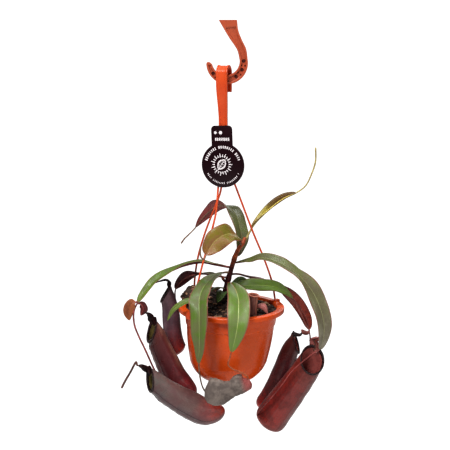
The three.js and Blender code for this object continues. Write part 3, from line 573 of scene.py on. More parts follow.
class Effects:
    """Builds the shared node groups and places them in materials."""

    _groups: dict[Effect, bpy.types.NodeTree] = {}

    @classmethod
    def place(cls, bench: Bench, effect: Effect, **inputs: Value) -> bpy.types.Node:
        """Places an effect's group in a tree with its own values.

        Args:
            bench: Where it goes.
            effect: Which effect it is.
            inputs: Values of the group's inputs, by their names in lower case.

        Returns:
            The group's node.
        """
        if effect not in cls._groups:
            cls._groups[effect] = getattr(cls, "_build_" + effect.value)()
        node = bench.node("Group")
        node.node_tree = cls._groups[effect]
        for name, value in inputs.items():
            bench.feed(node.inputs[name.capitalize()], value)
        return node

    @staticmethod
    def _open(effect: Effect, inputs: Sequence[tuple[str, str, float]],
              outputs: Sequence[tuple[str, str]]) -> tuple[Bench, dict, dict]:
        """Starts a group.

        Args:
            effect: Which effect it is.
            inputs: (name, socket type, default) of each input.
            outputs: (name, socket type) of each output.

        Returns:
            Its bench, its inputs' sockets and its outputs' sockets, by name.
        """
        tree = bpy.data.node_groups.new(effect.value, "ShaderNodeTree")
        for name, kind, value in inputs:
            socket = tree.interface.new_socket(name=name, in_out="INPUT", socket_type="NodeSocket" + kind)
            if kind == "Float":
                socket.default_value = value
        for name, kind in outputs:
            tree.interface.new_socket(name=name, in_out="OUTPUT", socket_type="NodeSocket" + kind)
        start = tree.nodes.new("NodeGroupInput")
        end = tree.nodes.new("NodeGroupOutput")
        return Bench(tree), {s.name: s for s in start.outputs}, {s.name: s for s in end.inputs}

    @classmethod
    def _build_mottle(cls) -> bpy.types.NodeTree:
        """Soft blotches between two colours, with finer ones inside them.

        Returns:
            The group.
        """
        bench, given, wanted = cls._open(
            Effect.MOTTLE,
            [("Vector", "Vector", 0), ("Scale", "Float", 60.0), ("Amount", "Float", 1.0),
             ("First", "Color", 0), ("Second", "Color", 0)],
            [("Color", "Color"), ("Mask", "Float")])
        broad = bench.node("TexNoise")
        fine = bench.node("TexNoise")
        for node, detail in ((broad, 2.0), (fine, 4.0)):
            bench.feed(node.inputs["Vector"], given["Vector"])
            node.inputs["Detail"].default_value = detail
            node.inputs["Distortion"].default_value = 0.6
        bench.feed(broad.inputs["Scale"], given["Scale"])
        bench.feed(fine.inputs["Scale"], bench.times(given["Scale"], 4.3))
        sum_of = bench.plus(bench.times(broad.outputs[0], 0.68),
                            bench.times(fine.outputs[0], 0.32))
        mask = bench.math("MULTIPLY", bench.span(sum_of, 0.38, 0.62), given["Amount"], clamp=True)
        bench.feed(wanted["Mask"], mask)
        bench.feed(wanted["Color"], bench.blend(mask, given["First"], given["Second"]))
        return bench.tree

    @classmethod
    def _build_specks(cls) -> bpy.types.NodeTree:
        """Scattered small specks, in some places more than in others.

        Returns:
            The group.
        """
        bench, given, wanted = cls._open(
            Effect.SPECKS, [("Vector", "Vector", 0), ("Scale", "Float", 400.0), ("Size", "Float", 0.2)],
            [("Mask", "Float")])
        cells = bench.node("TexVoronoi", feature="F1")
        bench.feed(cells.inputs["Vector"], given["Vector"])
        bench.feed(cells.inputs["Scale"], given["Scale"])
        where = bench.node("TexNoise")
        bench.feed(where.inputs["Vector"], given["Vector"])
        bench.feed(where.inputs["Scale"], bench.times(given["Scale"], 0.12))
        reach = bench.times(given["Size"], bench.span(where.outputs[0], 0.4, 0.65))
        inside = bench.minus(reach, cells.outputs["Distance"])
        bench.feed(wanted["Mask"], bench.math("MULTIPLY", inside, 12.0, clamp=True))
        return bench.tree

    @classmethod
    def _build_grain(cls) -> bpy.types.NodeTree:
        """Fine unevenness: soft dimples with a finer tooth on them.

        Returns:
            The group.
        """
        bench, given, wanted = cls._open(
            Effect.GRAIN, [("Vector", "Vector", 0), ("Scale", "Float", 800.0)], [("Height", "Float")])
        coarse = bench.node("TexNoise")
        fine = bench.node("TexNoise")
        bench.feed(coarse.inputs["Vector"], given["Vector"])
        bench.feed(fine.inputs["Vector"], given["Vector"])
        bench.feed(coarse.inputs["Scale"], given["Scale"])
        bench.feed(fine.inputs["Scale"], bench.times(given["Scale"], 3.1))
        total = bench.plus(bench.times(coarse.outputs[0], 0.7),
                           bench.times(fine.outputs[0], 0.3))
        bench.feed(wanted["Height"], total)
        return bench.tree


def mottle(bench: Bench, where: Socket, scale: float, amount: float, first: Value,
           second: str) -> bpy.types.Node:
    """Blotches of a colour code on a first colour."""
    return Effects.place(bench, Effect.MOTTLE, vector=where, scale=scale, amount=amount, first=first,
                         second=colour(second))


def specked(bench: Bench, where: Socket, scale: float, size: float, amount: float, base: Value,
            code: str) -> Socket:
    """Colour with specks of a colour code scattered on it."""
    specks = Effects.place(bench, Effect.SPECKS, vector=where, scale=scale, size=size)
    return bench.blend(bench.times(specks.outputs["Mask"], amount), base, colour(code))


def grained(bench: Bench, where: Socket, scale: float, strength: float, distance: float) -> Socket:
    """Normal with a fine grain in it."""
    grain = Effects.place(bench, Effect.GRAIN, vector=where, scale=scale)
    return bench.bump(grain.outputs["Height"], strength, distance)


@dataclass(frozen=True)
class Gloss:
    """How a surface shines: roughness where it is smooth and where it is dull, and its clear coat."""

    smooth: float = 0.35
    dull: float = 0.55
    coat: float = 0.0
    specular: float = 0.5

    def dress(self, bench: Bench, shader: bpy.types.Node, tint: Value, mask: Value, normal: Value,
              full: float = 0.6) -> None:
        """Joins a colour, a dullness and a normal to a shader.

        Args:
            bench: Where the nodes go.
            shader: The Principled BSDF.
            tint: Its colour.
            mask: Where it is dull.
            normal: Its normal.
            full: The mask's value where it is fully dull.
        """
        bench.feed(shader.inputs["Base Color"], tint)
        bench.feed(shader.inputs["Roughness"], bench.span(mask, 0.0, full, self.smooth, self.dull))
        bench.feed(shader.inputs["Normal"], normal)


def new_material(name: str, gloss: Gloss) -> tuple[bpy.types.Material, Bench, bpy.types.Node]:
    """Starts a material.

    Args:
        name: Its name.
        gloss: Its shine.

    Returns:
        The material, its bench and its Principled BSDF.
    """
    material = bpy.data.materials.new(name)
    material.use_nodes = True
    shader = material.node_tree.nodes["Principled BSDF"]
    shader.inputs["Specular IOR Level"].default_value = gloss.specular
    shader.inputs["Coat Weight"].default_value = gloss.coat
    shader.inputs["Coat Roughness"].default_value = 0.25
    return material, Bench(material.node_tree), shader


@dataclass(frozen=True)
class Plastic:
    """A moulded plastic: its colour, a paler worn tint, and the scale of its flow marks."""

    name: str
    body: str
    faded: str
    deep: str
    gloss: Gloss = Gloss(0.3, 0.48)
    grain: float = 900.0
    relief: float = 0.00006
    wear: float = 0.3

    def build(self) -> bpy.types.Material:
        """Makes the material.

        Returns:
            The material.
        """
        material, bench, shader = new_material(self.name, self.gloss)
        where = bench.object_place()
        tone = mottle(bench, where, 14.0, self.wear, colour(self.body), self.faded)
        dirt = mottle(bench, where, 70.0, 0.5 * self.wear, tone.outputs["Color"], self.deep)
        dusty = specked(bench, where, 260.0, 0.16, 0.2, dirt.outputs["Color"], self.deep)
        normal = grained(bench, where, self.grain, 0.5, self.relief)
        self.gloss.dress(bench, shader, dusty, dirt.outputs["Mask"], normal, 0.5)
        return material


@dataclass(frozen=True)
class LeafSkin:
    """One face of a leaf: its colours from stalk to tip, its midrib, margin, blotches and veins."""

    name: str
    stops: Stops
    blotch: str
    midrib: str
    margin: str
    spot: str = "7a3a30"
    blotches: float = 0.55
    spots: float = 0.2
    margin_width: float = 0.07
    midrib_width: float = 0.035
    gloss: Gloss = Gloss(0.32, 0.5, specular=0.35)

    def build(self) -> bpy.types.Material:
        """Makes the material.

        Returns:
            The material.
        """
        material, bench, shader = new_material(self.name, self.gloss)
        where = bench.object_place()
        across, along = bench.chart()
        out = bench.times(bench.unsigned(bench.minus(across, 0.5)), 2.0)
        wander = bench.times(bench.minus(bench.noise(where, 90.0), 0.5), 0.16)
        base = bench.ramp(bench.plus(along, wander), self.stops)
        tone = mottle(bench, where, 70.0, self.blotches, base, self.blotch)
        veins = self._veins(bench, out, along)
        paler = bench.blend(bench.times(veins, 0.12), tone.outputs["Color"], colour(self.midrib))
        spotted = specked(bench, where, 330.0, 0.3, self.spots, paler, self.spot)
        ragged = bench.plus(out, bench.times(wander, 0.5))
        edge = bench.span(ragged, 1 - 2.2 * self.margin_width, 1 - 0.4 * self.margin_width)
        edged = bench.blend(edge, spotted, colour(self.margin))
        rib = bench.span(out, 0.6 * self.midrib_width, 1.6 * self.midrib_width, 1.0, 0.0)
        tint = bench.blend(rib, edged, colour(self.midrib))
        normal = bench.bump(veins, 0.5, 0.0002, grained(bench, where, 700.0, 0.35, 0.0001))
        self.gloss.dress(bench, shader, tint, tone.outputs["Mask"], normal)
        return material

    @staticmethod
    def _veins(bench: Bench, out: Value, along: Value) -> Socket:
        """Fine cross veins that run out and forward, and three long veins beside the margin.

        Args:
            bench: Where the nodes go.
            out: Distance from the midrib, 0 to 1.
            along: Place along the blade, 0 to 1.

        Returns:
            How much vein there is.
        """
        slanted = bench.minus(bench.times(along, 46.0), bench.times(out, 5.0))
        wave = bench.unsigned(bench.math("SINE", bench.times(slanted, math.pi)))
        cross = bench.span(wave, 0.86, 1.0, 0.0, 0.6)
        lines = bench.unsigned(bench.math("SINE", bench.times(out, 3.4 * math.pi)))
        long = bench.times(bench.span(lines, 0.93, 1.0), bench.span(out, 0.35, 0.55))
        return bench.math("MAXIMUM", cross, long)


@dataclass(frozen=True)
class PitcherSkin:
    """Outside of a pitcher: its colours from foot to mouth, blotches, specks and long veins, with painted
    shade on the side turned from the light and a band of painted highlight.
    """

    name: str
    stops: Stops
    blotch: str
    speck: str
    bloom: str
    blotches: float = 0.6
    specks: float = 0.35
    gloss: Gloss = Gloss(0.26, 0.44, specular=0.45)
    lit: float = 0.3
    shade: str = "3a1a1e"
    shading: float = 0.75
    wing: str = "2a1014"
    wings: float = 0.7
    # ridge is the colour of a painted highlight, a pale band where light falls along one side; the two
    # fields below give its strength and its place round the turn
    ridge: str = "6a4640"
    highlight_band_amount: float = 0.0
    highlight_band_at: float = 0.43

    def build(self) -> bpy.types.Material:
        """Makes the material.

        Returns:
            The material.
        """
        material, bench, shader = new_material(self.name, self.gloss)
        where = bench.object_place()
        across, along = bench.chart()
        wander = bench.times(bench.minus(bench.noise(where, 45.0), 0.5), 0.16)
        plain_base = bench.ramp(bench.plus(along, wander), self.stops)
        base = self._turned(bench, plain_base, across, along, wander)
        tone = mottle(bench, where, 55.0, self.blotches, base, self.blotch)
        bloom = bench.times(bench.span(bench.noise(where, 120.0, 5.0), 0.5, 0.75), 0.3)
        dusted = bench.blend(bloom, tone.outputs["Color"], colour(self.bloom))
        speckled = specked(bench, where, 520.0, 0.22, self.specks, dusted, self.speck)
        turn = bench.plus(bench.times(across, 40.0), bench.times(wander, 12.0))
        lines = bench.unsigned(bench.math("SINE", bench.times(turn, math.pi)))
        veins = bench.span(lines, 0.75, 1.0)
        veined = bench.blend(bench.times(veins, 0.14), speckled, colour(self.blotch))
        near = bench.math("MINIMUM", across, bench.minus(1.0, across))
        apart = bench.unsigned(bench.minus(near, Cup.WING_TURN))
        winged = bench.times(bench.span(apart, 0.004, 0.014, self.wings, 0.0),
                            bench.span(along, 0.12, 0.4))
        tint = bench.blend(winged, veined, colour(self.wing))
        normal = bench.bump(veins, 0.35, 0.0002, grained(bench, where, 480.0, 0.45, 0.00018))
        self.gloss.dress(bench, shader, tint, tone.outputs["Mask"], normal)
        return material

    def _turned(self, bench: Bench, base: Value, across: Value, along: Value,
                wander: Value) -> Socket:
        """Paints shade on the side turned from the light, and lays a pale band of painted highlight along
        the lit ridge.

        Args:
            bench: Where the nodes go.
            base: Colour from foot to mouth.
            across: Share of the turn round from the front.
            along: Share of the length from the foot.
            wander: Small unevenness that roughens the borders.

        Returns:
            The colour.
        """
        turn = bench.times(bench.minus(bench.plus(across, wander), self.lit), 2 * math.pi)
        dark = bench.span(bench.math("COSINE", turn), -0.45, 0.75, self.shading, 0.0)
        shaded = bench.blend(dark, base, colour(self.shade))
        if self.highlight_band_amount <= 0:
            return shaded
        # painted highlight: a pale band round one place of the turn, from the middle of the pitcher towards
        # its mouth
        off = bench.unsigned(bench.minus(bench.plus(across, wander), self.highlight_band_at))
        here = bench.times(bench.span(off, 0.03, 0.1, self.highlight_band_amount, 0.0),
                          bench.span(along, 0.45, 0.65))
        return bench.blend(here, shaded, colour(self.ridge))


@dataclass(frozen=True)
class Tissue:
    """A plain plant or soil surface: two colours in blotches, specks, and a relief."""

    name: str
    body: str
    blotch: str
    speck: str
    scale: float = 120.0
    amount: float = 0.8
    specks: float = 0.3
    speck_size: float = 0.25
    grain: float = 900.0
    relief: float = 0.0003
    gloss: Gloss = Gloss(0.5, 0.75)
    ribs: float = 0.0
    start: str = ""
    start_at: float = 0.2

    def build(self) -> bpy.types.Material:
        """Makes the material.

        Returns:
            The material.
        """
        material, bench, shader = new_material(self.name, self.gloss)
        where = bench.object_place()
        tone = mottle(bench, where, self.scale, self.amount, colour(self.body), self.blotch)
        base = specked(bench, where, 3.2 * self.scale, self.speck_size, self.specks, tone.outputs["Color"],
                       self.speck)
        if self.start:
            _, along = bench.chart()
            patch = bench.times(bench.span(along, self.start_at - 0.09, self.start_at + 0.09, 1.0, 0.0),
                               bench.span(bench.noise(where, 55.0), 0.3, 0.5))
            base = bench.blend(patch, base, colour(self.start))
        normal = grained(bench, where, self.grain, 0.7, self.relief)
        if self.ribs > 0:
            across, _ = bench.chart()
            turn = bench.times(across, 2 * math.pi * self.ribs)
            ridges = bench.span(bench.math("SINE", turn), -1.0, 1.0)
            base = bench.blend(bench.times(ridges, 0.3), base, colour(self.speck))
            normal = bench.bump(ridges, 0.8, 0.0003, normal)
        self.gloss.dress(bench, shader, base, tone.outputs["Mask"], normal, 0.7)
        return material


# ---- leaves ----
class LeafFace(Enum):
    """Materials of a leaf, in the order of their indices."""

    UPPER = 0
    UNDER = 1
    RIB = 2


@dataclass
class Blade:
    """A strap-shaped blade with a midrib that runs on as a round tendril, in millimetres.

    rows are [x, y, z, roll in degrees], or [x, y, z] where the blade isn't rolled; blade_rows of them
    carry the blade, and the rest its tendril.
    """

    rows: Rows
    blade_rows: int
    width: float
    peak: float = 0.45
    fold: float = 25.0
    wave: float = 1.0
    waves: float = 3.0
    stalk: float = 0.12
    tip: float = 1.1
    thickness: float = 0.9
    arch: float = 0.12
    columns: int = 22
    steps: int = 110
    root: float = 0.0

    def __post_init__(self) -> None:
        """Gives a row without a roll a roll of 0."""
        self.rows = [(*row, 0)[:4] for row in self.rows]

    @property
    def blade_end(self) -> float:
        """Share of the rows that the blade takes up."""
        return (self.blade_rows - 1) / (len(self.rows) - 1)

    def half_at(self, share: float) -> float:
        """Half of the blade's width.

        Args:
            share: Share of the blade's length.

        Returns:
            The half width.
        """
        sharpness = 1.4
        inside = min(max((share - self.stalk) / (1 - self.stalk), 0.0), 1.0)
        rise = (inside / self.peak) ** (sharpness * self.peak)
        fall = ((1 - inside) / (1 - self.peak)) ** (sharpness * (1 - self.peak))
        return self.width * max(rise, self.root if inside < self.peak else 0.0) * fall

    def frame_at(self, t: float) -> tuple[Vector, Vector, Vector]:
        """Centre, sideways and upward directions of the blade.

        Args:
            t: Place along the rows, 0 to 1.

        Returns:
            The three vectors.
        """
        row = curve_at(self.rows, t)
        along = direction_at(self.rows, t)
        side = square_to(side_of(self.rows, 0, self.blade_rows - 1), along)
        across = Matrix.Rotation(math.radians(row[3]), 3, along) @ side
        return Vector(row[:3]), across, across.cross(along)

    def point(self, u: float, v: float, face: float) -> Vector:
        """Point of the blade's skin.

        Args:
            u: Place across, 0 to 1.
            v: Place along, 0 to 1.
            face: 1 for the upper side and -1 for the under side.

        Returns:
            The point.
        """
        share = mix(self.stalk, 1.0, v)
        centre, across, up = self.frame_at(share * self.blade_end)
        half = self.half_at(share)
        out = 2 * u - 1
        lift = math.radians(self.fold)
        spread = abs(out)
        keel = math.sqrt(out * out + 0.004) - 0.063
        beat = 2 * math.pi * self.waves * share + (1.1 if out > 0 else 0.0)
        frill = self.wave * math.sin(beat) * out * out
        crimp = 0.35 * self.wave * ripple(centre + across * out * half, 9.0, 3.0) * out * out
        bow = self.arch * half * spread * (1 - spread) * 2
        fullness = min(half / self.width * 1.4, 1.0)
        skin = face * self.thickness / 2 * math.sqrt(max(1 - out ** 6, 0.0)) * min(half / self.tip, 1.0)
        height = keel * half * math.sin(lift) + (frill + crimp) * fullness + bow + skin
        return centre + across * (out * half * math.cos(lift)) + up * height

    def add_to(self, piece: Piece, upper: int = 0, under: int = 1, rib: int = 2) -> None:
        """Adds the blade's two sides, and its midrib and tendril, to a piece.

        Args:
            piece: What it is added to.
            upper: Material index of the upper side.
            under: Material index of the under side.
            rib: Material index of the rib and tendril.
        """
        piece.sheet(self.columns, self.steps, lambda u, v: self.point(u, v, 1), upper)
        piece.sheet(self.columns, self.steps, lambda u, v: self.point(1 - u, v, -1), under)
        end = self.blade_end
        radius = [(0.0, 1.35 * self.tip), (self.stalk * end, 1.2 * self.tip), (0.5 * end, 0.75 * self.tip),
                  (0.92 * end, 0.6 * self.tip), (min(end * 1.04, 1.0), 0.9 * self.tip), (1.0, self.tip)]
        if end >= 1.0:
            radius = radius[:4] + [(1.0, 0.4 * self.tip)]

        def place(u: float, v: float) -> Vector:
            """Point of the rib: under the blade, then on the line itself as a tendril.

            Args:
                u: Share of the turn.
                v: Share of the rows.

            Returns:
                The point.
            """
            centre, across, up = self.frame_at(v)
            closing = math.sqrt(min(min(v, 1 - v) * 90, 1.0))
            size = table_at(radius, v) * closing
            sunk = 0.55 * smooth(end * 1.05, end * 0.85, v) if end < 1 else 0.55
            angle = 2 * math.pi * u
            centre = centre - up * sunk * smooth(0.0, self.stalk * end + 0.01, v)
            bump = 0.12 * ripple(centre, 5.0)
            return centre + (across * math.cos(angle) + up * math.sin(angle)) * (size + bump * closing)

        piece.sheet(12, int(60 * len(self.rows) / 5), place, rib)


@dataclass
class Leaf:
    """One leaf of the plant: its node, slot, blade and finishes, with any tubes and flaps on it."""

    node: str
    slot: str
    blade: Blade
    upper: LeafSkin
    under: LeafSkin
    rib: Tissue
    flaps: Sequence[Blade] = ()
    knob: tuple[Rows, Table] | None = None

    def build(self) -> None:
        """Makes the leaf."""
        piece = Piece(self.node + "_blade")
        self.blade.add_to(piece)
        for i, flap in enumerate(self.flaps):
            flap.add_to(piece, upper=3 + i, under=3 + i)
        if self.knob is not None:
            piece.tube(self.knob[0], self.knob[1], 20, 24, LeafFace.RIB.value, bumps=0.25)
        piece.weld(0.02)
        finishes = [self.upper.build(), self.under.build(), self.rib.build()]
        if self.flaps:
            finishes += [WITHERED_FLAP.build(), MAROON_FLAP.build()]
        piece.finish(finishes, self.node, self.slot)


# ---- pitchers ----
class CupFace(Enum):
    """Materials of a pitcher, in the order of their indices."""

    OUTSIDE = 0
    LIP = 1
    INSIDE = 2
    NECK = 3
    TAIL = 4


@dataclass
class Cup:
    """Hollow pitcher from its foot to its mouth, in millimetres, with two wings down its front."""

    axis: Rows
    radius: float
    foot: float
    mouth: float
    front: Row
    slant: float
    wing: float = 1.6
    wing_width: float = 0.05
    lip: float = 1.0
    wall: float = 1.2
    columns: int = 150
    steps: int = 100
    dents: float = 0.5
    neck: Blade | None = None
    WING_TURN: ClassVar[float] = 1 / 14
    FOOT_ROUNDNESS: ClassVar[float] = 2.3
    TAPER: ClassVar[float] = 1.3
    LIP_RIBS: ClassVar[int] = 70
    ROOT_DEPTH: ClassVar[float] = 6.0
    ROLL: ClassVar[Rows] = ((0, -0.4), (1.0, -0.9), (1.9, -0.3), (2.1, 0.6), (1.3, 1.5), (0.1, 1.7),
                            (-1.1, 0.9), (-1.7, -0.6), (-1.5, -2.0))

    def share_at(self, t: float) -> float:
        """Radius as a share of the widest: a round foot, then a taper to the mouth.

        Args:
            t: Place along the axis.

        Returns:
            The share.
        """
        if t < self.foot:
            return math.sqrt(max(1 - (1 - t / self.foot) ** self.FOOT_ROUNDNESS, 0.0))
        return mix(1, self.mouth, ((t - self.foot) / (1 - self.foot)) ** self.TAPER)

    def point(self, angle: float, t: float, grow: float = 0.0, push: float = 0.0,
              winged: bool = False) -> Vector:
        """Point of the wall.

        Args:
            angle: Turn from the front, in radians.
            t: Place along the axis.
            grow: How far outside the wall it lies.
            push: How far on along the axis it lies.
            winged: Whether the wings stand up from it.

        Returns:
            The point.
        """
        along = direction_at(self.axis, t)
        ahead = square_to(Vector(self.front), along)
        side = along.cross(ahead)
        round_share = self.share_at(t)
        size = self.radius * round_share + grow * min(round_share * 3, 1.0)
        out = ahead * math.cos(angle) + side * math.sin(angle)
        centre = point_at(self.axis, t)
        reach = size
        reach += self.dents * ripple(centre + out * size, 14.0, 5.0) * smooth(0, 0.1,
                                                                              t) * (1 - smooth(0.85, 1, t))
        if winged:
            wing_turn = 2 * math.pi * self.WING_TURN
            apart = min(abs(angle - wing_turn), abs(angle - 2 * math.pi + wing_turn))
            ridge = math.exp(-(apart / self.wing_width) ** 2)
            frayed = 0.8 + 0.2 * math.sin(t * 70 + 3 * angle)
            reach += 0.8 * self.wing * ridge * frayed * smooth(0.06, 0.2,
                                                               t) * (1 - 0.6 * smooth(0.93, 1, t))
        sheared = math.tan(math.radians(self.slant)) * smooth(0.5, 1, t)
        return centre + out * reach + along * (push - sheared * size * math.cos(angle))

    def lip_point(self, u: float, v: float) -> Vector:
        """Point of the rolled, ribbed lip.

        Args:
            u: Share of the turn.
            v: Place round the roll, from outside over the top to inside.

        Returns:
            The point.
        """
        out, up = curve_at([*self.ROLL, (-self.wall, -3.0)], v)
        angle = 2 * math.pi * u
        rib = 1 + 0.05 * math.sin(self.LIP_RIBS * angle) * math.sin(math.pi * v)
        swell = 1 + 0.18 * ripple(Vector((3 * math.cos(angle), 3 * math.sin(angle), 0)), 1.4, self.radius)
        return self.point(angle, 1, out * self.lip * rib * swell, up * self.lip * rib * swell)

    def add_to(self, piece: Piece) -> None:
        """Adds the pitcher's outside, lip and inside, and its neck where it has one.

        Args:
            piece: What it is added to.
        """
        depth = 0.8

        def outside(u: float, v: float) -> Vector:
            """Point of the outer wall, from the foot up to the lip."""
            t = v ** 1.5
            return self.point(2 * math.pi * u, t, 0.0, -0.4 * self.lip * smooth(0.9, 1.0, t), True)

        def inside(u: float, v: float) -> Vector:
            """Point of the inner wall, from under the lip down to its floor.

            Args:
                u: Share of the turn.
                v: Share of the way down.

            Returns:
                The point.
            """
            t = 1 - depth * v
            closing = math.sqrt(max(1 - max((v - 0.85) / 0.15, 0.0) ** 2, 0.0))
            push = -3.0 * self.lip * (1 - smooth(0.0, 0.12, v))
            inner = self.point(2 * math.pi * u, t, -self.wall, push)
            return point_at(self.axis, t).lerp(inner, closing)

        piece.sheet(self.columns, self.steps, outside, CupFace.OUTSIDE.value)
        piece.sheet(self.columns, 18, self.lip_point, CupFace.LIP.value)
        piece.sheet(self.columns, 50, inside, CupFace.INSIDE.value)
        if self.neck is not None:
            self.rooted_neck().add_to(piece, CupFace.NECK.value, CupFace.NECK.value, CupFace.TAIL.value)

    def rooted_neck(self) -> Blade:
        """The neck and lid, rooted in the back wall under the mouth's highest edge.

        Returns:
            The neck with its root.
        """
        along = direction_at(self.axis, 1)
        ahead = square_to(Vector(self.front), along)
        size = self.radius * self.mouth
        edge = point_at(self.axis, 1) - ahead * size + along * (size * math.tan(math.radians(self.slant)))
        start = [tuple(edge - along * self.ROOT_DEPTH), tuple(edge)]
        neck = self.neck
        return replace(neck, rows=start + list(neck.rows), wave=0.4, waves=2, stalk=0.0, thickness=1.1,
                       root=0.85)


@dataclass
class Pitcher:
    """One pitcher of the plant with its finishes."""

    node: str
    slot: str
    cup: Cup
    outside: PitcherSkin
    lip: Tissue
    inside: Tissue
    neck: LeafSkin | None = None

    def build(self) -> None:
        """Makes the pitcher."""
        piece = Piece(self.node + "_cup")
        self.cup.add_to(piece)
        piece.weld(0.03)
        finishes = [self.outside.build(), self.lip.build(), self.inside.build()]
        if self.neck is not None:
            finishes += [self.neck.build(), PITCHER_TAIL.build()]
        piece.finish(finishes, self.node, self.slot, crease=70)


@dataclass
class WitheredPitcher:
    """The collapsed grey pitcher that lies against the pot's foot."""

    rows: Rows = (
        (21, -75, -76), (16, -75, -82), (8, -75, -84), (-1, -77, -88), (-12, -78, -91), (-22, -78, -92),
        (-31, -78, -91), (-36, -78, -90))
    radii: Table = ((0, 1.2), (0.05, 6), (0.13, 11), (0.22, 13), (0.32, 13), (0.42, 11), (0.5, 12.5),
                    (0.6, 16.5), (0.72, 18.5), (0.84, 17), (0.94, 11), (1, 5))
    flatten: float = 0.62

    def point(self, u: float, v: float) -> Vector:
        """Point of the puckered skin.

        Args:
            u: Share of the turn.
            v: Share of the length.

        Returns:
            The point.
        """
        centre = point_at(self.rows, v)
        along = direction_at(self.rows, v)
        ahead = square_to(Vector((0, -1, 0)), along)
        up = ahead.cross(along)
        angle = 2 * math.pi * u
        closing = math.sqrt(min(min(v, 1 - v) * 14, 1.0))
        pucker = 1 + 0.07 * math.sin(3 * angle + 7 * v) + 0.03 * math.sin(5 * angle - 9 * v)
        size = table_at(self.radii, v) * pucker * closing
        spot = centre + ahead * (size * self.flatten * math.cos(angle)) + up * (size * math.sin(angle))
        folds = 1 - abs(ripple(spot, 7.0, 1.0)) * 2
        creases = 1 - abs(ripple(spot, 3.2, 8.0)) * 2
        out = (spot - centre).normalized() if size > 0.1 else Vector((0, 0, 0))
        return spot + out * (closing * (0.7 * folds + 0.2 * creases - 0.8))

    def build(self) -> None:
        """Makes the withered pitcher."""
        piece = Piece("pitcher_withered_skin")
        piece.sheet(130, 150, self.point)
        piece.weld(0.03)
        piece.finish([WITHERED_SKIN.build()], "pitcher_withered", "withered_skin", crease=80)


# ---- pot and soil ----
@dataclass
class Pot:
    """The thin orange pot, a little askew on its hanger."""

    centre_x: float = -1.3
    tilt: float = 0.6
    lean: float = 0.045
    rim_radius: float = 70.0
    skirt: float = 6.0
    floor: float = -95.0
    drain_radius: float = 1.9
    drain_circle: float = 18.0
    drains: int = 5
    ring_lines: Row = (-33.5, -77.5)
    line_depth: float = 0.3
    line_width: float = 0.55
    foot: Rows = ((27, -96.8), (0, -96.8))
    sides: int = 160
    shoulder: Rows = ((61.9, -7.5), (60.4, -15), (59.6, -22.6), (58.2, -23.8))
    wall: Rows = (
        (58.2, -23.8), (57.2, -38), (55.2, -54), (52.2, -70), (50.8, -75.6), (46.9, -83.8), (42.2, -89.8),
        (37, -94.8), (31, -98.4))
    inside: Rows = ((60.3, -0.8), (58.1, -22.9), (55.7, -38), (53.5, -54), (48.8, -72), (41.2, -87.4),
                    (30.5, -95))

    def matrix(self) -> Matrix:
        """Leans and tilts a piece drawn round the pot's own axis.

        Returns:
            The lean and tilt.
        """
        shear = Matrix.Identity(4)
        shear[0][2] = self.lean
        turn = Matrix.Rotation(math.radians(self.tilt), 4, "Y")
        return Matrix.Translation((self.centre_x, 0, 0)) @ turn @ shear

    def profile(self) -> list[Vector]:
        """Half section of the pot, from the middle of its floor inside round to that outside.

        Returns:
            Its points.
        """
        skin = 1.6
        rim = self.rim_radius
        inner = [curve_at(self.inside, 1 - i / 40) for i in range(41)]
        head = [(60.9, 0), (rim - 0.9, 0.15), (rim, -0.9), (rim, -self.skirt), (rim - skin, -self.skirt),
                (rim - skin, -skin), (self.shoulder[0][0], -skin)]
        side = [curve_at(self.wall, i / 60) for i in range(1, 61)]
        for ring in side:
            for line in self.ring_lines:
                ring[0] -= self.line_depth * math.exp(-((ring[1] - line) / self.line_width) ** 2)
        corners = [inner[-1], *head, *self.shoulder, side[0]]
        eased = rounded([(r, 0, z) for r, z in corners], 0.7, 4)
        return [Vector((0, 0, self.floor)), *(Vector((r, 0, z)) for r, z in inner[:-1]), *eased,
                *(Vector((r, 0, z)) for r, z in (*side[1:], *self.foot))]

    def build(self) -> None:
        """Makes the pot, with its drain holes."""
        piece = Piece("pot_shell")
        verts = [piece.mesh.verts.new(point) for point in self.profile()]
        edges = [piece.mesh.edges.new(pair) for pair in zip(verts, verts[1:])]
        bmesh.ops.spin(piece.mesh, geom=verts + edges, axis=(0, 0, 1), cent=(0, 0, 0), angle=2 * math.pi,
                       steps=self.sides, use_merge=True)
        piece.weld(0.01)
        piece.mesh.transform(self.matrix())
        punches = Piece("drain_punches")
        for i in range(self.drains):
            angle = 2 * math.pi * (i + 0.5) / self.drains
            place = Matrix.Translation((*polar(self.drain_circle, angle), self.floor))
            bmesh.ops.create_cone(punches.mesh, cap_ends=True, segments=24, radius1=self.drain_radius,
                                  radius2=self.drain_radius, depth=12, matrix=self.matrix() @ place)
        piece.finish([POT_PLASTIC.build()], "pot", "pot_plastic", crease=35, holes=punches)


